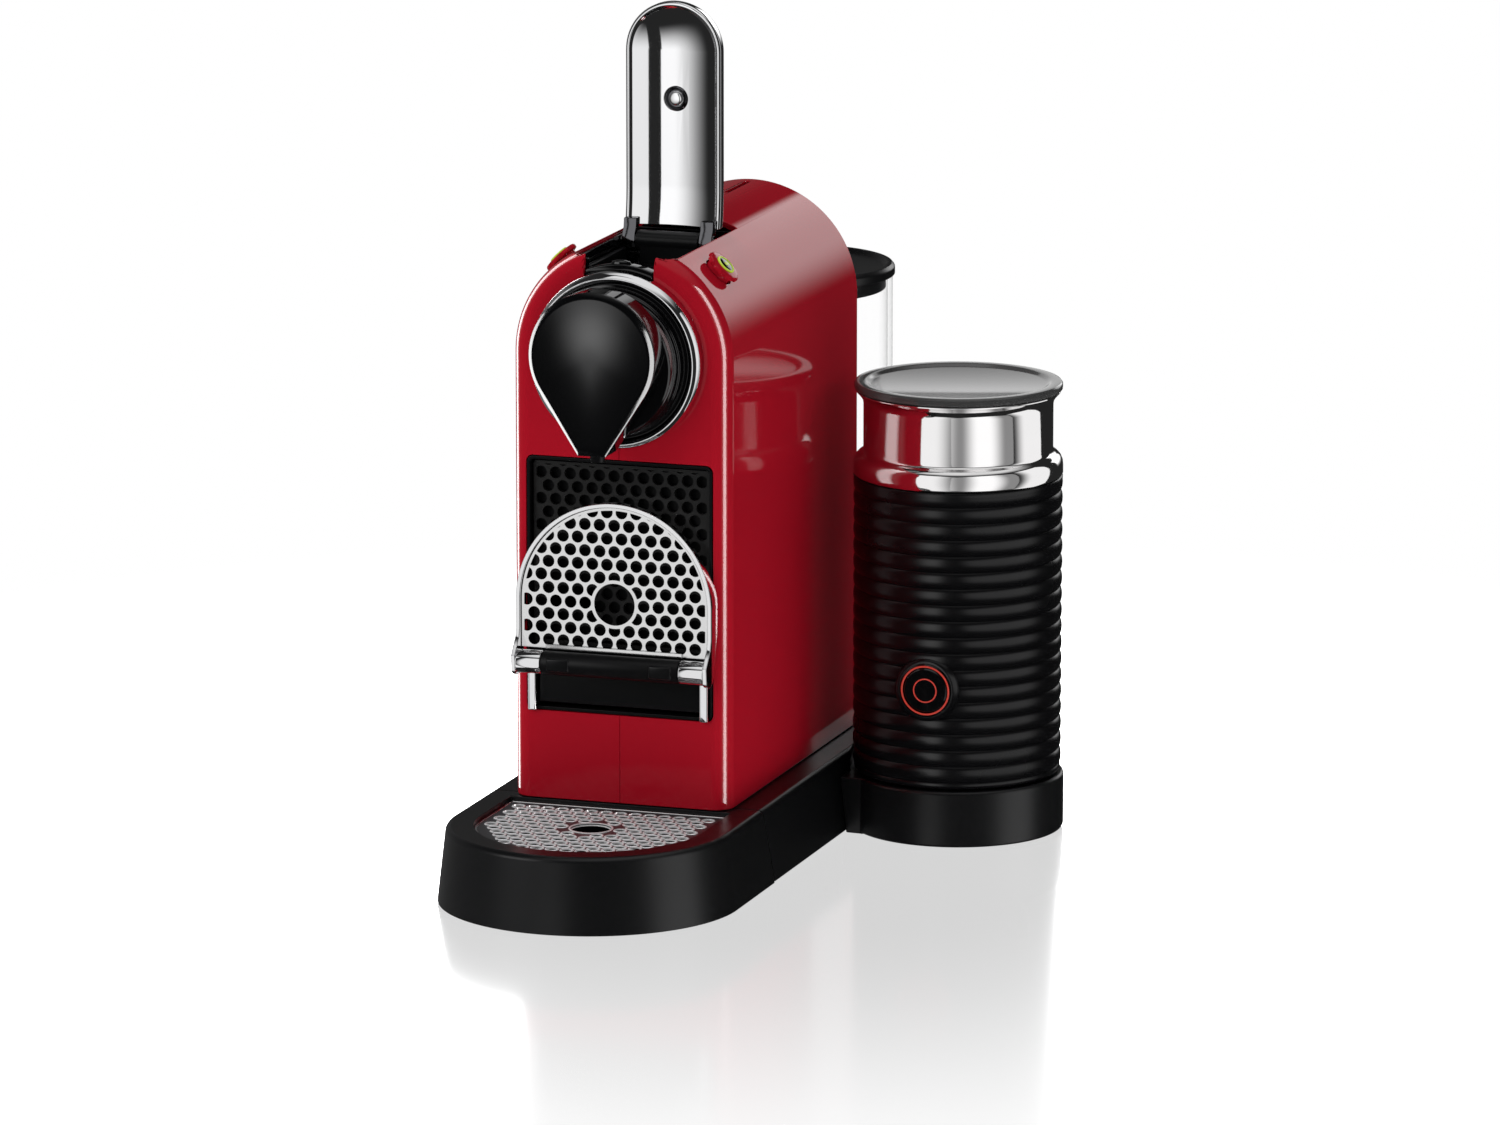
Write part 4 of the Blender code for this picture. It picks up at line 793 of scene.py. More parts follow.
def cup_tray():
    deep = 0.0058
    outline = bmesh.new()
    steps = ring_of_points(outline, (0, HINGE.y + deep, HINGE.z), (0, HINGE.y, HINGE.z), (1, 0, 0),
                           math.radians(-140), 28)
    top = TRAY_Z + TRAY_OUTER + 0.01
    rest = [(-0.0146, HINGE.z + 0.0030), (-0.0116, HINGE.z + 0.0068), (-0.0090, HINGE.z + 0.0100),
            (-0.0080, HINGE.z + 0.0140), (-0.0080, top), (-0.0040, top), (-0.0040, 0.1420), (-0.0034, 0.1370),
            (-0.0018, 0.1320), (0.0000, 0.1290), (0.0006, 0.1250), (0.0004, 0.1120), (-0.0020, 0.1010)]
    ordered = steps + [outline.verts.new((0, y, z)) for y, z in rest]
    face = outline.faces.new(ordered)
    bmesh.ops.translate(outline, verts=outline.verts, vec=(-0.053, 0, 0))
    pushed(outline, [face], (0.106, 0, 0))
    rim = within(outline, arch(TRAY_OUTER, TRAY_Z, 0.07, -0.03, 0.01))
    rim = without(rim, arch(TRAY_INNER, TRAY_Z, 0.06, -0.04, 0.02))
    rim = eased(rim, 0.00035, 3, 30)
    piece("tray_rim", rim, CHROME, "cup_tray", "chrome", "tray_frame", weighted=True)
    ends = []
    for side in (-1, 1):
        x = sorted((side * 0.0303, side * 0.0414))
        end = rod(0.0050, x[0], x[1], 64, "X", HINGE)
        end = without(end, rod(0.0018, -0.0408, 0.0408, 32, "X", HINGE))
        ends.append(softened(end, 0.0006, 4))
    piece("tray_hinge_ends", joined(*ends), CHROME, "cup_tray", "chrome")
    sheet_front, sheet_back = -0.0062, -0.0050
    bottom = 0.0992
    plate = arch(TRAY_INNER - 0.0003, TRAY_Z, bottom, sheet_front, sheet_back)
    middle = rod(0.0089, -0.01, 0.03, 64, "Y", (0, 0, TRAY_Z))
    field = without(arch(TRAY_INNER - 0.0014, TRAY_Z, bottom + 0.0002, -0.02, 0.02),
                    rod(0.0103, -0.03, 0.03, 64, "Y", (0, 0, TRAY_Z)))
    spots = staggered(-TRAY_INNER, TRAY_INNER, bottom, TRAY_Z + TRAY_INNER, (0.0, TRAY_Z))
    punch = within(pins(spots, 0.00262, -0.012, 0.0, "Y", 16), field)
    plate = without(plate, punch, middle)
    piece("tray_punched_plate", plate, PUNCHED, "cup_tray", "steel", "tray_grid", angle=40)
    fold = brick((-0.0300, 0.0300), (sheet_front - 0.0012, sheet_front + 0.0001),
                 (bottom - 0.0002, bottom + 0.0018))
    piece("tray_folded_lip", softened(fold, 0.0003), PUNCHED, "cup_tray", "steel")


# ----------------------------------------------------------------------- base
def half_at(z):
    """The base's half width at a height: its wall leans in as it rises."""
    return BASE_LOW_HALF + (BASE_TOP_HALF - BASE_LOW_HALF) * z / BASE_HEIGHT


def leaning_wall(bm, centre_y, front, low, high):
    """Draws the top of a base shape in, so that its wall leans."""
    share = half_at(high) / half_at(low)
    upper = [v for v in bm.verts if v.co.z > high - 1e-6]
    curved = [v for v in upper if (v.co.y < centre_y + 1e-6) == front or abs(v.co.y - centre_y) < 1e-6]
    straight = [v for v in upper if v not in curved]
    bmesh.ops.scale(bm, vec=(share, share, 1), space=Matrix.Translation((0, -centre_y, 0)), verts=curved)
    bmesh.ops.scale(bm, vec=(share, 1, 1), verts=straight)
    return bm


def top_rounded(bm, high, width, flat_y, flat_tol=0.012):
    """Rounds the outer top edge of a base shape, but not its flat end."""
    edges = [e for e in bm.edges if all(v.co.z > high - 1e-6 for v in e.verts)
             and not all(abs(v.co.y - flat_y) < flat_tol for v in e.verts)]
    bmesh.ops.bevel(bm, geom=edges, offset=width, offset_type="OFFSET", segments=6, profile=0.5,
                    affect="EDGES", clamp_overlap=True, material=-1)
    return bm


def slanted(bm, gap):
    """Leans the flat end of a base shape, so that tray and frame meet on a slope."""
    for v in bm.verts:
        if abs(v.co.y - TRAY_SPLIT) < 1e-5:
            v.co.y = SEAM_FOOT + (SEAM_TOP - SEAM_FOOT) * v.co.z / BASE_HEIGHT + gap
    return bm


def base():
    tray = bowed(half_at(0.0010), BASE_FRONT, TRAY_SPLIT, 0.0010, BASE_HEIGHT)
    tray = slanted(leaning_wall(tray, BASE_FRONT, True, 0.0010, BASE_HEIGHT), -SEAM_GAP)
    tray = top_rounded(tray, BASE_HEIGHT, 0.0024, TRAY_SPLIT)
    tray = without(
        tray,
        bowed(0.0485, BASE_FRONT, 0.0, GRID_TOP - 0.0017, 0.05),
        bowed(0.0455, BASE_FRONT, -0.0040, 0.0065, 0.05),
        bowed(0.0560, BASE_FRONT, 0.0200, -0.01, 0.0045),
    )
    piece("drip_tray_body", eased(tray, 0.0004, 2, 40), SATIN, "drip_tray", "black_satin", "drip_tray",
          weighted=True)
    body = bowed(half_at(0.0015), BASE_REAR, TRAY_SPLIT, 0.0015, BASE_HEIGHT, front=False)
    body = slanted(leaning_wall(body, BASE_REAR, False, 0.0015, BASE_HEIGHT), SEAM_GAP)
    body = top_rounded(body, BASE_HEIGHT, 0.0024, TRAY_SPLIT)
    hollow = bowed(BASE_TOP_HALF - 0.0030, BASE_REAR, 0.0160, -0.01, BASE_HEIGHT - 0.0030, front=False)
    door = brick((-0.0560, 0.0560), (0, 0.03), (-0.01, 0.0045))
    notch = rod(0.0456, 0.0245, 0.05, 128, "Z", JUG)
    gland_hole = rod(0.0063, -0.29, -0.25, 40, "Y", GLAND)
    body = without(body, hollow, door, notch, gland_hole)
    piece("base_body", eased(body, 0.0004, 2, 40), SATIN, "machine", "black_satin", "base_frame",
          weighted=True)
    gland = [(0.0026, -0.2660), (0.0050, -0.2660), (0.0058, -0.2650), (0.0060, -0.2600), (0.0050, -0.2596),
             (0.0050, -0.2580), (0.0060, -0.2576), (0.0060, -0.2540), (0.0026, -0.2540)]
    piece("cord_bushing", softened(turned(gland, 40, "Y", GLAND), 0.0002), RUBBER, "machine",
          "rubber", "cord_gland")
    for name in ("foot_front_left", "foot_front_right", "foot_rear_left", "foot_rear_right", "foot_frother"):
        low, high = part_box(name)
        middle = (low + high) / 2 - MACHINE
        r = (high.x - low.x) / 2
        foot = turned([(0, 0.0), (r - 0.0012, 0.0), (r, 0.0004), (r, 0.0012), (0, 0.0012)], 48, "Z",
                      (middle.x, middle.y, low.z))
        piece(f"{name}_pad", foot, RUBBER, "machine", "rubber", name)


def drip_grid():
    sheet_low = GRID_TOP - 0.0012
    edge = GRID_EDGE
    plate = bowed(edge, BASE_FRONT, -0.0005, GRID_TOP - 0.0007, GRID_TOP - 0.0003)
    spots = []
    for x, y in staggered(-edge, edge, BASE_FRONT - edge, 0.0, (0.0, BASE_FRONT)):
        away = math.hypot(x, y - BASE_FRONT)
        inside = abs(x) < edge - 0.0042 if y > BASE_FRONT else away < edge - 0.0042
        if inside and away > 0.0118 and y < -0.0045:
            spots.append((x, y))
    punch = pins(spots, 0.0024, 0.0, 0.05, "Z", 12)
    plate = without(plate, rod(0.0083, 0.0, 0.06, 64, "Z", (0, BASE_FRONT, 0)), punch)
    # The sheet takes the grid steel darkened as painted shade; the collars and the eye below take it made
    # near white as painted glints.
    piece("drip_grid_sheet", plate, GRID_SHADED_STEEL, "drip_grid", "steel", "drip_grid", angle=40)
    collar = [(0.0023, GRID_TOP - 0.0006), (0.0031, GRID_TOP - 0.0004), (0.0028, GRID_TOP),
              (0.0025, GRID_TOP)]
    collars = bmesh.new()
    for x, y in spots:
        one = turned(collar, 12, "Z", (x, y, 0))
        mesh = bpy.data.meshes.new("collar")
        one.to_mesh(mesh)
        one.free()
        collars.from_mesh(mesh)
        bpy.data.meshes.remove(mesh)
    piece("drip_grid_collars", collars, GRID_GLINT_STEEL, "drip_grid", "steel", angle=60)
    rim = without(bowed(edge, BASE_FRONT, -0.0005, sheet_low, GRID_TOP),
                  bowed(edge - 0.0013, BASE_FRONT, -0.0018, 0.0, 0.05))
    piece("drip_grid_rim", eased(rim, 0.0003, 2), CHROME, "drip_grid", "steel", weighted=True)
    eye = turned([(0.0081, GRID_TOP - 0.0012), (0.0094, GRID_TOP - 0.0004), (0.0092, GRID_TOP),
                  (0.0086, GRID_TOP)], 64, "Z", (0, BASE_FRONT, 0))
    piece("drip_grid_eye", eye, GRID_GLINT_STEEL, "drip_grid", "steel", angle=60)


# ------------------------------------------------------------------ water tank
def water_tank():
    low, high = tank_low.z, tank_high.z
    radius = (tank_high.x - tank_low.x) / 2
    inner = radius - 0.0022
    wall = [(0.0066, low), (radius - 0.0030, low), (radius - 0.0009, low + 0.0009), (radius, low + 0.0030),
            (radius, high), (inner, high), (inner, low + 0.0040), (inner - 0.0015, low + 0.0025),
            (0.0066, low + 0.0025)]
    piece("tank_vessel", turned(wall, 128, "Z", TANK), CLEAR, "water_tank", "clear_plastic", "water_tank")
    seat = [(0.0066, 0.0333), (0.0400, 0.0333), (0.0390, low - 0.0003), (0.0066, low - 0.0003)]
    piece("tank_dock", softened(turned(seat, 96, "Z", TANK), 0.0006, 3), SATIN, "machine", "black_satin",
          "tank_seat")
    plug = inner - 0.0008
    lid_top = 0.2253
    lid = [(0, 0.2165), (plug - 0.0025, 0.2165), (plug - 0.0025, 0.2142), (plug, 0.2142),
           (plug, high + 0.0003), (0.0460, high + 0.0003), (0.0460, lid_top - 0.0016),
           (0.0446, lid_top), (0.0424, lid_top), (0.0410, lid_top - 0.0018),
           (0.0200, lid_top - 0.0024), (0, lid_top - 0.0025)]
    piece("tank_cap", softened(turned(lid, 128, "Z", TANK), 0.0004, 3, 20), SATIN, "tank_lid",
          "black_satin", "tank_lid")


# ---------------------------------------------------------------- milk frother
def frother_stand():
    profile = [(0, 0.0008), (0.0452, 0.0008), (0.0458, 0.0020), (0.0458, 0.0240), (0.0448, 0.0250),
               (0, 0.0250)]
    stand = turned(profile, 128, "Z", JUG)
    bridge = brick((0.0500, JUG.x), (JUG.y - 0.0320, JUG.y + 0.0320), (0.0008, 0.0250))
    stand = welded(stand, bridge)
    gap, over = 0.0003, 0.0400
    shell = bowed(BASE_LOW_HALF + gap, BASE_REAR, 0.0, -0.0001, over, front=False)
    ratio = (half_at(over) + gap) / (BASE_LOW_HALF + gap)
    upper = [v for v in shell.verts if v.co.z > 0.01]
    bmesh.ops.scale(shell, vec=(ratio, 1, 1), verts=upper)
    hollow = rod(0.0418, -0.01, 0.0215, 96, "Z", JUG)
    stand = without(stand, shell, hollow)
    boss = rod(0.0080, 0.0015, 0.0216, 40, "Z", (JUG.x + 0.0150, JUG.y, 0))
    stand = welded(stand, boss)
    piece("frother_dock", eased(stand, 0.0006, 3), SATIN, "machine", "black_satin", "frother_stand",
          weighted=True)
    contact = [(0, 0.0253), (0.0140, 0.0253), (0.0130, 0.0303), (0, 0.0303)]
    piece("frother_contact", softened(turned(contact, 64, "Z", JUG), 0.0006), SATIN, "machine",
          "black_satin", "frother_connector")


def jug_coat():
    """The ribbed black coat, smooth round the button."""
    foot, top, crest, groove = 0.0254, 0.1540, 0.0446, 0.0436
    profile = [(0.0148, foot), (crest - 0.0020, foot), (crest - 0.0008, foot + 0.0008),
               (crest - 0.0004, foot + 0.0020)]
    rib = [(0.0, 0.0), (0.06, 0.30), (0.13, 0.55), (0.22, 0.78), (0.34, 0.94), (0.50, 1.0), (0.66, 0.94),
           (0.78, 0.78), (0.87, 0.55), (0.94, 0.30)]
    pitch, first, ribs = 0.00700, 0.0284, 18
    for i in range(ribs):
        for along, rise in rib:
            z = first + (i + along) * pitch
            if z < top - 0.0012:
                profile.append((groove + (crest - groove) * rise, z))
    inner = 0.0415
    profile += [(crest, top - 0.0006), (crest - 0.0006, top), (inner, top), (inner, foot + 0.0032),
                (0.0170, foot + 0.0032), (0.0170, foot + 0.0076), (0, foot + 0.0076), (0, foot + 0.0055),
                (0.0148, foot + 0.0055)]
    coat = turned(profile, 128, "Z", JUG)
    spot = (JUG.x, JUG.y, SWITCH_Z)
    boss = turned([(0, 0.0380), (0.0142, 0.0380), (0.0142, 0.0432), (0.0134, 0.0447), (0.0124, 0.0455),
                   (0, 0.0455)], 64, "Y", spot)
    coat = welded(coat, boss)
    coat = without(coat, rod(0.0116, 0.0425, 0.0600, 64, "Y", spot))
    piece("jug_ribbed_coat", coat, RIBBED, "jug", "black_satin", "jug_housing", angle=50)
    ring = turned([(0.0099, 0.0428), (0.0113, 0.0428), (0.0113, 0.0455), (0.0109, 0.0458), (0.0099, 0.0458)],
                  64, "Y", spot)
    piece("jug_switch_surround", ring, GLOSS, "jug", "black_gloss", "jug_button_ring")
    glow = turned([(0.00995, 0.0455), (0.0107, 0.0455), (0.0107, 0.04590), (0.0103, 0.04600),
                   (0.00995, 0.04590)], 96, "Y", spot)
    piece("jug_switch_glow_band", glow, GLOW, "jug", "grey_plastic")
    button = turned([(0, 0.0442), (0.0096, 0.0442), (0.0096, 0.0456), (0.0090, 0.0461), (0, 0.0461)],
                    64, "Y", spot)
    piece("jug_switch", button, GLOSS, "jug_button", "black_gloss", "jug_button")
    mark = turned([(0.0047, 0.0460), (0.00525, 0.0460), (0.00525, 0.04620), (0.0047, 0.04620)],
                  96, "Y", spot)
    piece("jug_switch_inner_ring", mark, GLOW, "jug_button", "grey_plastic")


def jug_steel():
    floor, liner, skin = 0.0620, 0.0380, 0.0010
    neck, rim, top = 0.0404, 0.0435, 0.1905
    coat_top = 0.1543
    profile = [(0, floor - skin), (liner - 0.002, floor - skin), (liner - 0.0006, floor - 0.0004),
               (liner, floor + 0.001), (liner, 0.1580), (0.0425, 0.1570), (0.0425, coat_top),
               (0.0443, coat_top), (0.0447, 0.1550), (0.0447, 0.1580), (0.0445, 0.1600), (0.0438, 0.1617),
               (0.0428, 0.1628), (0.0418, 0.1634), (0.0409, 0.1640), (0.0406, 0.1648), (neck, 0.1660),
               (neck, 0.1845), (0.0407, 0.1862), (0.0415, 0.1876), (0.0427, 0.1890), (rim, 0.1898),
               (rim, top - 0.0003), (rim - 0.0004, top), (rim - 0.0010, top - 0.0002), (neck - skin, 0.1880),
               (neck - skin, 0.1680), (liner - skin, 0.1600), (liner - skin, floor + 0.0016),
               (liner - 0.0018, floor + 0.0004), (liner - 0.0025, floor), (0, floor)]
    steel = turned(profile, 160, "Z", JUG)
    post = rod(0.0018, floor - 0.0005, floor + 0.0060, 24, "Z", JUG)
    piece("jug_steel_vessel", welded(steel, post), STEEL, "jug", "steel", "jug_vessel", angle=40)


def jug_lid():
    plug, top = 0.0382, 0.1942
    profile = [(0, 0.1895), (plug - 0.0060, 0.1895), (plug - 0.0040, 0.1850), (plug, 0.1850),
               (plug, 0.1908), (0.0436, 0.1908), (0.0443, 0.1912), (0.0444, 0.1918),
               (0.0444, top - 0.0010), (0.0438, top - 0.0002), (0.0430, top), (0.0400, top),
               (0.0390, top - 0.0003), (0.0380, top - 0.0011), (0.0370, top - 0.0014), (0, top - 0.0016)]
    piece("jug_clear_lid", turned(profile, 128, "Z", JUG), SMOKED, "jug_lid", "smoked_plastic", "jug_lid",
          angle=40)
    clip = brick((JUG.x - 0.0045, JUG.x + 0.0045), (JUG.y - 0.0045, JUG.y + 0.0045),
                 (0.1886, 0.1919), 0.0008)
    piece("lid_whisk_clip", softened(clip, 0.0004), DEEP, "jug_lid", "black_satin")
    seal = [(0.0385, 0.1856), (0.0389, 0.1856), (0.0391, 0.1862), (0.0389, 0.1867), (0.0391, 0.1872),
            (0.0389, 0.1878), (0.0385, 0.1878)]
    piece("lid_gasket", turned(seal, 96, "Z", JUG), RUBBER, "jug_lid", "rubber", "lid_seal")


# ----------------------------------------------------------------------- stage
def studio():
    """A white floor that fades from a faint mirror under the machine to plain."""
    floor_mesh = bpy.data.meshes.new("floor")
    bm = bmesh.new()
    bmesh.ops.create_grid(bm, x_segments=1, y_segments=1, size=40.0)
    bm.to_mesh(floor_mesh)
    bm.free()
    floor = bpy.data.objects.new("floor", floor_mesh)
    bpy.context.scene.collection.objects.link(floor)
    mat = bpy.data.materials.new("white_floor")
    mat.use_nodes = True
    nodes, links = mat.node_tree.nodes, mat.node_tree.links
    nodes.clear()
    out = nodes.new("ShaderNodeOutputMaterial")
    mix = nodes.new("ShaderNodeMixShader")
    plain = nodes.new("ShaderNodeEmission")
    plain.inputs["Strength"].default_value = 1.0
    sheen = nodes.new("ShaderNodeBsdfGlossy")
    sheen.inputs["Roughness"].default_value = 0.13
    coord = nodes.new("ShaderNodeTexCoord")
    away = nodes.new("ShaderNodeVectorMath")
    away.operation = "DISTANCE"
    links.new(coord.outputs["Object"], away.inputs[0])
    away.inputs[1].default_value = (0.0, 0.02, 0.0)
    fade = nodes.new("ShaderNodeMapRange")
    fade.interpolation_type = "SMOOTHSTEP"
    fade.inputs["From Min"].default_value = 0.15
    fade.inputs["From Max"].default_value = 0.62
    fade.inputs["To Min"].default_value = 0.34
    fade.inputs["To Max"].default_value = 0.0
    links.new(away.outputs["Value"], fade.inputs["Value"])
    links.new(fade.outputs["Result"], mix.inputs["Fac"])
    links.new(plain.outputs["Emission"], mix.inputs[1])
    links.new(sheen.outputs["BSDF"], mix.inputs[2])
    links.new(mix.outputs["Shader"], out.inputs["Surface"])
    floor_mesh.materials.append(mat)
    floor.visible_glossy = False
    floor.visible_shadow = False
    return floor


def area_light(name, place, aim, size, energy, only=None, **flags):
    lamp = bpy.data.lights.new(name, "AREA")
    lamp.shape = "RECTANGLE"
    lamp.size, lamp.size_y = size
    lamp.energy = energy
    obj = bpy.data.objects.new(name, lamp)
    bpy.context.scene.collection.objects.link(obj)
    obj.location = place
    obj.rotation_euler = (Vector(aim) - Vector(place)).to_track_quat("-Z", "Y").to_euler()
    obj.visible_camera = False
    for flag, value in flags.items():
        setattr(obj, flag, value)
    if only:
        group = bpy.data.collections.new(f"{name}_lights")
        for receiver in only:
            group.objects.link(receiver)
        obj.light_linking.receiver_collection = group
    return obj


def around(azimuth, elevation, distance, centre=(0, 0, 0.15)):
    """A place at a distance, from an azimuth that runs from +Y towards +X and a height in degrees."""
    a, e = math.radians(azimuth), math.radians(elevation)
    level = distance * math.cos(e)
    return Vector(centre) + Vector((level * math.sin(a), level * math.cos(a), distance * math.sin(e)))


# (azimuth start, its blur, azimuth end, its blur, low, its blur, high, its blur, radiance),
# in degrees from +Y towards +X, and up from the horizon
STUDIO_BOXES = [
    (-3, 2, 22, 2, 4, 8, 22, 1.5, 2.6),
    (245, 10, 340, 10, -50, 6, 34, 8, 0.14),
    (-40, 1, 229, 1, 52, 10, 120, 1, 1.0),
]
ROOM, AMBIENT = 0.025, 0.64  # what glossy and what matt surfaces see of the rest of the room


def studio_world():
    """White to the camera, and soft boxes on a dim room in the reflections."""
    world = bpy.data.worlds.new("studio")
    bpy.context.scene.world = world
    world.use_nodes = True
    world.cycles.sampling_method = "NONE"
    nodes, links = world.node_tree.nodes, world.node_tree.links
    nodes.clear()

    def calc(operation, *values):
        node = nodes.new("ShaderNodeMath")
        node.operation = operation
        for i, value in enumerate(values):
            if isinstance(value, (int, float)):
                node.inputs[i].default_value = value
            else:
                links.new(value, node.inputs[i])
        return node.outputs[0]

    def fade(value, start, end):
        node = nodes.new("ShaderNodeMapRange")
        node.interpolation_type = "SMOOTHSTEP"
        links.new(value, node.inputs["Value"])
        node.inputs["From Min"].default_value = start
        node.inputs["From Max"].default_value = end
        return node.outputs[0]

    coord = nodes.new("ShaderNodeTexCoord")
    split = nodes.new("ShaderNodeSeparateXYZ")
    links.new(coord.outputs["Generated"], split.inputs[0])
    azimuth = calc("MULTIPLY", calc("ARCTAN2", split.outputs[0], split.outputs[1]), 180 / math.pi)
    height = calc("MULTIPLY", calc("ARCSINE", split.outputs[2]), 180 / math.pi)
    total = calc("ADD", ROOM, 0.0)
    for start, start_blur, end, end_blur, low, low_blur, high, high_blur, radiance in STUDIO_BOXES:
        turned_by = calc("WRAP", calc("SUBTRACT", azimuth, start), 270.0, -90.0)
        across = fade(turned_by, -start_blur, start_blur)
        until = fade(turned_by, end - start + end_blur, end - start - end_blur)
        up = fade(height, low - low_blur, low + low_blur)
        down = fade(height, high + high_blur, high - high_blur)
        mask = calc("MULTIPLY", calc("MULTIPLY", across, until), calc("MULTIPLY", up, down))
        total = calc("ADD", total, calc("MULTIPLY", mask, radiance))
    room = nodes.new("ShaderNodeBackground")
    links.new(total, room.inputs["Strength"])
    white = nodes.new("ShaderNodeBackground")
    white.inputs["Strength"].default_value = 1.0
    ambient = nodes.new("ShaderNodeBackground")
    ambient.inputs["Strength"].default_value = AMBIENT
    path = nodes.new("ShaderNodeLightPath")
    first = nodes.new("ShaderNodeMixShader")
    links.new(path.outputs["Is Diffuse Ray"], first.inputs["Fac"])
    links.new(white.outputs[0], first.inputs[1])
    links.new(ambient.outputs[0], first.inputs[2])
    second = nodes.new("ShaderNodeMixShader")
    links.new(path.outputs["Is Glossy Ray"], second.inputs["Fac"])
    links.new(first.outputs[0], second.inputs[1])
    links.new(room.outputs[0], second.inputs[2])
    out = nodes.new("ShaderNodeOutputWorld")
    links.new(second.outputs[0], out.inputs["Surface"])


def card(name, start, end, low, high, radiance, only, blur=(0, 0, 0, 0), bounces=1):
    """A soft box at 3 m, between two azimuths and two heights, that only some pieces reflect.

    blur is the share of its width that fades at the start and the end, and of its height at
    the foot and the top. With no bounces it doesn't show in what those pieces mirror."""
    width = 6.0 * math.tan(math.radians(end - start) / 2)
    height = 6.0 * math.tan(math.radians(high - low) / 2)
    obj = area_light(name, around((start + end) / 2, (low + high) / 2, 3.0), (0, 0, 0.15), (width, height),
                     radiance * math.pi * width * height, only, visible_diffuse=False)
    obj.data.cycles.max_bounces = bounces
    obj.data.use_nodes = True
    nodes, links = obj.data.node_tree.nodes, obj.data.node_tree.links
    across = nodes.new("ShaderNodeNewGeometry")
    split = nodes.new("ShaderNodeSeparateXYZ")
    links.new(across.outputs["Parametric"], split.inputs[0])
    strength = None
    sides = ((0, 1, -1), (0, 0, 1), (1, 0, 1), (1, 1, -1))
    for (axis, edge, inward), share in zip(sides, blur):
        if not share:
            continue
        fade = nodes.new("ShaderNodeMapRange")
        fade.interpolation_type = "SMOOTHSTEP"
        links.new(split.outputs[axis], fade.inputs["Value"])
        fade.inputs["From Min"].default_value = edge
        fade.inputs["From Max"].default_value = edge + inward * share
        if strength is None:
            strength = fade.outputs[0]
        else:
            both = nodes.new("ShaderNodeMath")
            both.operation = "MULTIPLY"
            links.new(strength, both.inputs[0])
            links.new(fade.outputs[0], both.inputs[1])
            strength = both.outputs[0]
    if strength is not None:
        links.new(strength, nodes["Emission"].inputs["Strength"])
    return obj


def made_of(*materials):
    """The visible pieces of some finishes."""
    meshes = [o for o in bpy.data.objects if o.type == "MESH" and o.data.materials and not o.hide_render]
    return [o for o in meshes if o.data.materials[0] in materials]


def camera():
    lens = bpy.data.cameras.new("camera")
    lens.lens = 220.9
    lens.sensor_width = 36.0
    lens.clip_end = 100.0
    obj = bpy.data.objects.new("camera", lens)
    bpy.context.scene.collection.objects.link(obj)
    place = MACHINE + Vector((1.2393, -3.5295, 0.9286))
    target = MACHINE + Vector((0.0238, 0.1000, 0.1178))
    obj.location = place
    obj.rotation_euler = (target - place).to_track_quat("-Z", "Y").to_euler()
    bpy.context.scene.camera = obj


# ----------------------------------------------------------------------- build
camera()
red = red_casing()
rear_panel()
slot_funnel()
dome = coffee_outlet()
coffee_buttons()
lever()
drawer()
cup_tray()
base()
drip_grid()
water_tank()
frother_stand()
jug_coat()
jug_steel()
jug_lid()
repaint(DEEP, "chassis", "pump_body", "base_floor", "tank_valve")
repaint(GREY, "brew_housing", "capsule_cage", "flow_meter")
repaint(ALUMINIUM, "thermoblock")
repaint(MOTOR, "jug_motor", "drive_magnet", "whisk", "extraction_plate")
repaint(BOARD, "control_board")
repaint(RUBBER, "water_hose", "pump_mount")

floor = studio()
studio_world()
bpy.context.scene.view_settings.view_transform = "Standard"
for azimuth in (0, 90, 180, 270):
    area_light(f"white_wall_{azimuth}", around(azimuth, 0, 8.0, (0, 0, 2.5)), (0, 0, 2.5), (16.0, 9.0),
               7240.0, [floor], visible_diffuse=False)

named = bpy.data.objects
blacks = made_of(SATIN, DEEP, GLOSS, PANEL, RUBBER)
ribs = made_of(RIBBED)
walls = [named[n] for n in ("drip_tray_body", "base_body", "frother_dock")]
spoon = [named[n] for n in ("lever_spoon", "rivet_pin")]
trim = made_of(BRUSHED, PUNCHED, DARK_CHROME) + [
    named[n] for n in ("outlet_trim_ring", "tray_rim", "tray_hinge_ends", "chrome_leg_left",
                       "chrome_leg_right", "drip_grid_rim")]
neck = [named["jug_steel_vessel"]]
card("red_edge_right", 93, 123, -25, 49, 30.0, red, (0.3, 0.3, 0, 0), 0)
card("red_glow_right", 82, 134, -25, 49, 3.0, red, (0.3, 0.3, 0, 0), 0)
card("red_edge_left", -87, -57, -25, 49, 15.0, red, (0.3, 0.3, 0, 0), 0)
card("red_glow_left", -98, -46, -25, 49, 2.0, red, (0.3, 0.3, 0, 0), 0)
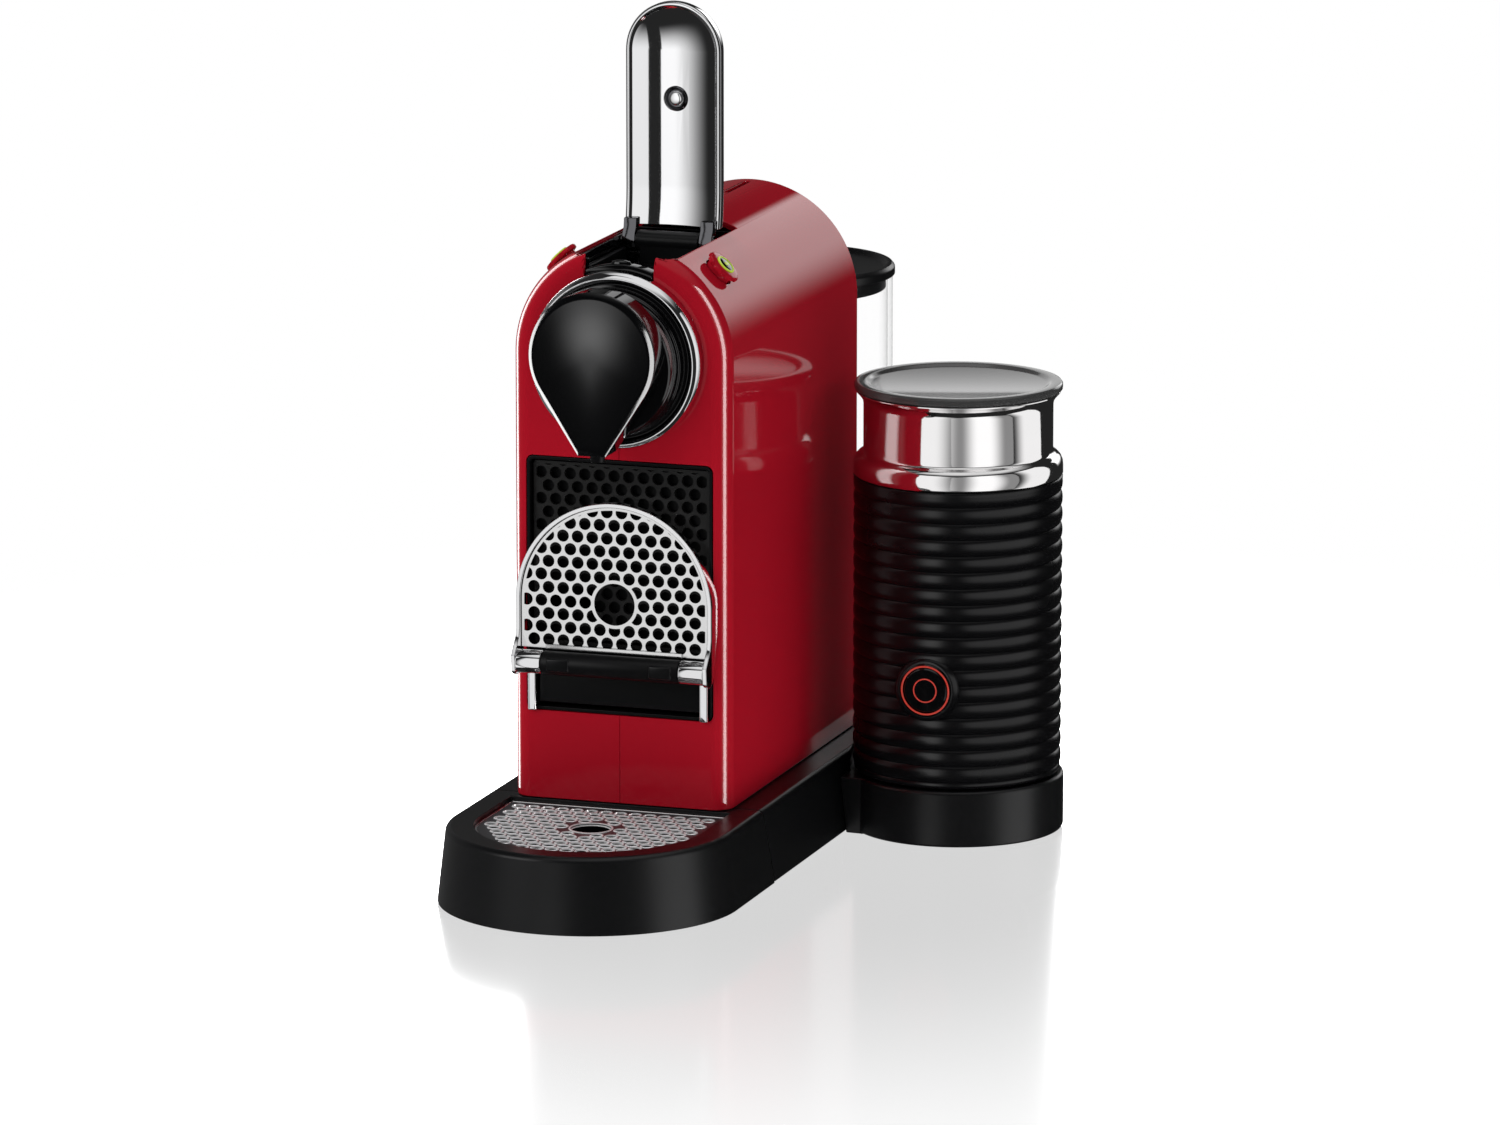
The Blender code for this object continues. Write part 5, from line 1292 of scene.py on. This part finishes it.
card("black_left", 201, 241, -5, 36, 2.1, blacks, (0.25, 0.25, 0.3, 0.2))
card("black_left_low", 176, 206, -34, 4, 0.85, walls, (0.3, 0.3, 0.2, 0.3))
card("black_right", 68, 122, -45, 36, 1.35, blacks, (0.3, 0.3, 0.1, 0.2))
card("ribs_left", 176, 208, -24, 34, 3.0, ribs, (0.3, 0.45, 0.25, 0.25))
card("ribs_right", 60, 158, -24, 34, 1.5, ribs, (0.3, 0.15, 0.25, 0.25))
card("spoon_edge", 150, 175, -30, 40, 0.95, spoon, (0.3, 0, 0.4, 0))
card("spoon_face", 185, 232, -30, 40, 1.15, spoon, (0, 0.75, 0.4, 0))
card("spoon_side", 30, 60, -36, 40, 0.45, spoon)
card("trim_front", 138, 212, -50, 40, 0.85, trim, (0.2, 0.1, 0, 0))
card("trim_left", 214, 250, -50, 40, 0.9, trim, (0.05, 0.5, 0, 0))
card("trim_right", 60, 100, -50, 40, 0.9, trim, (0.3, 0.3, 0, 0))
card("neck_left", 160, 216, -45, 40, 1.05, neck, (0.55, 0, 0, 0))
card("neck_middle", 102, 158, -45, 40, 0.95, neck, (0.4, 0.4, 0, 0))
card("neck_right", 44, 92, -45, 40, 1.05, neck, (0, 0.4, 0, 0))
card("neck_fill", 92, 170, -45, 40, 0.28, neck)
card("lid_back", -46, 10, 1, 30, 1.0, [named["jug_clear_lid"]], (0.15, 0.15, 0, 0))
card("dome_spot", 191, 207, -13, 5, 3.4, [dome], (0.5, 0.5, 0.5, 0.5))
card("dome_left", 249, 271, -55, 20, 15.0, [dome])
card("dome_right", 124, 147, -55, 20, 15.0, [dome])
area_light("key", around(205, 28, 3.2), (0, 0, 0.15), (1.6, 1.6), 36.0, visible_glossy=False)
side_key = area_light("side_key", around(95, 25, 3.2), (0, 0, 0.15), (1.6, 1.6), 9.0, visible_glossy=False)
side_key.data.cycles.max_bounces = 0
area_light("top_key", around(290, 55, 3.2), (0, 0, 0.15), (1.6, 1.6), 46.0, visible_glossy=False)
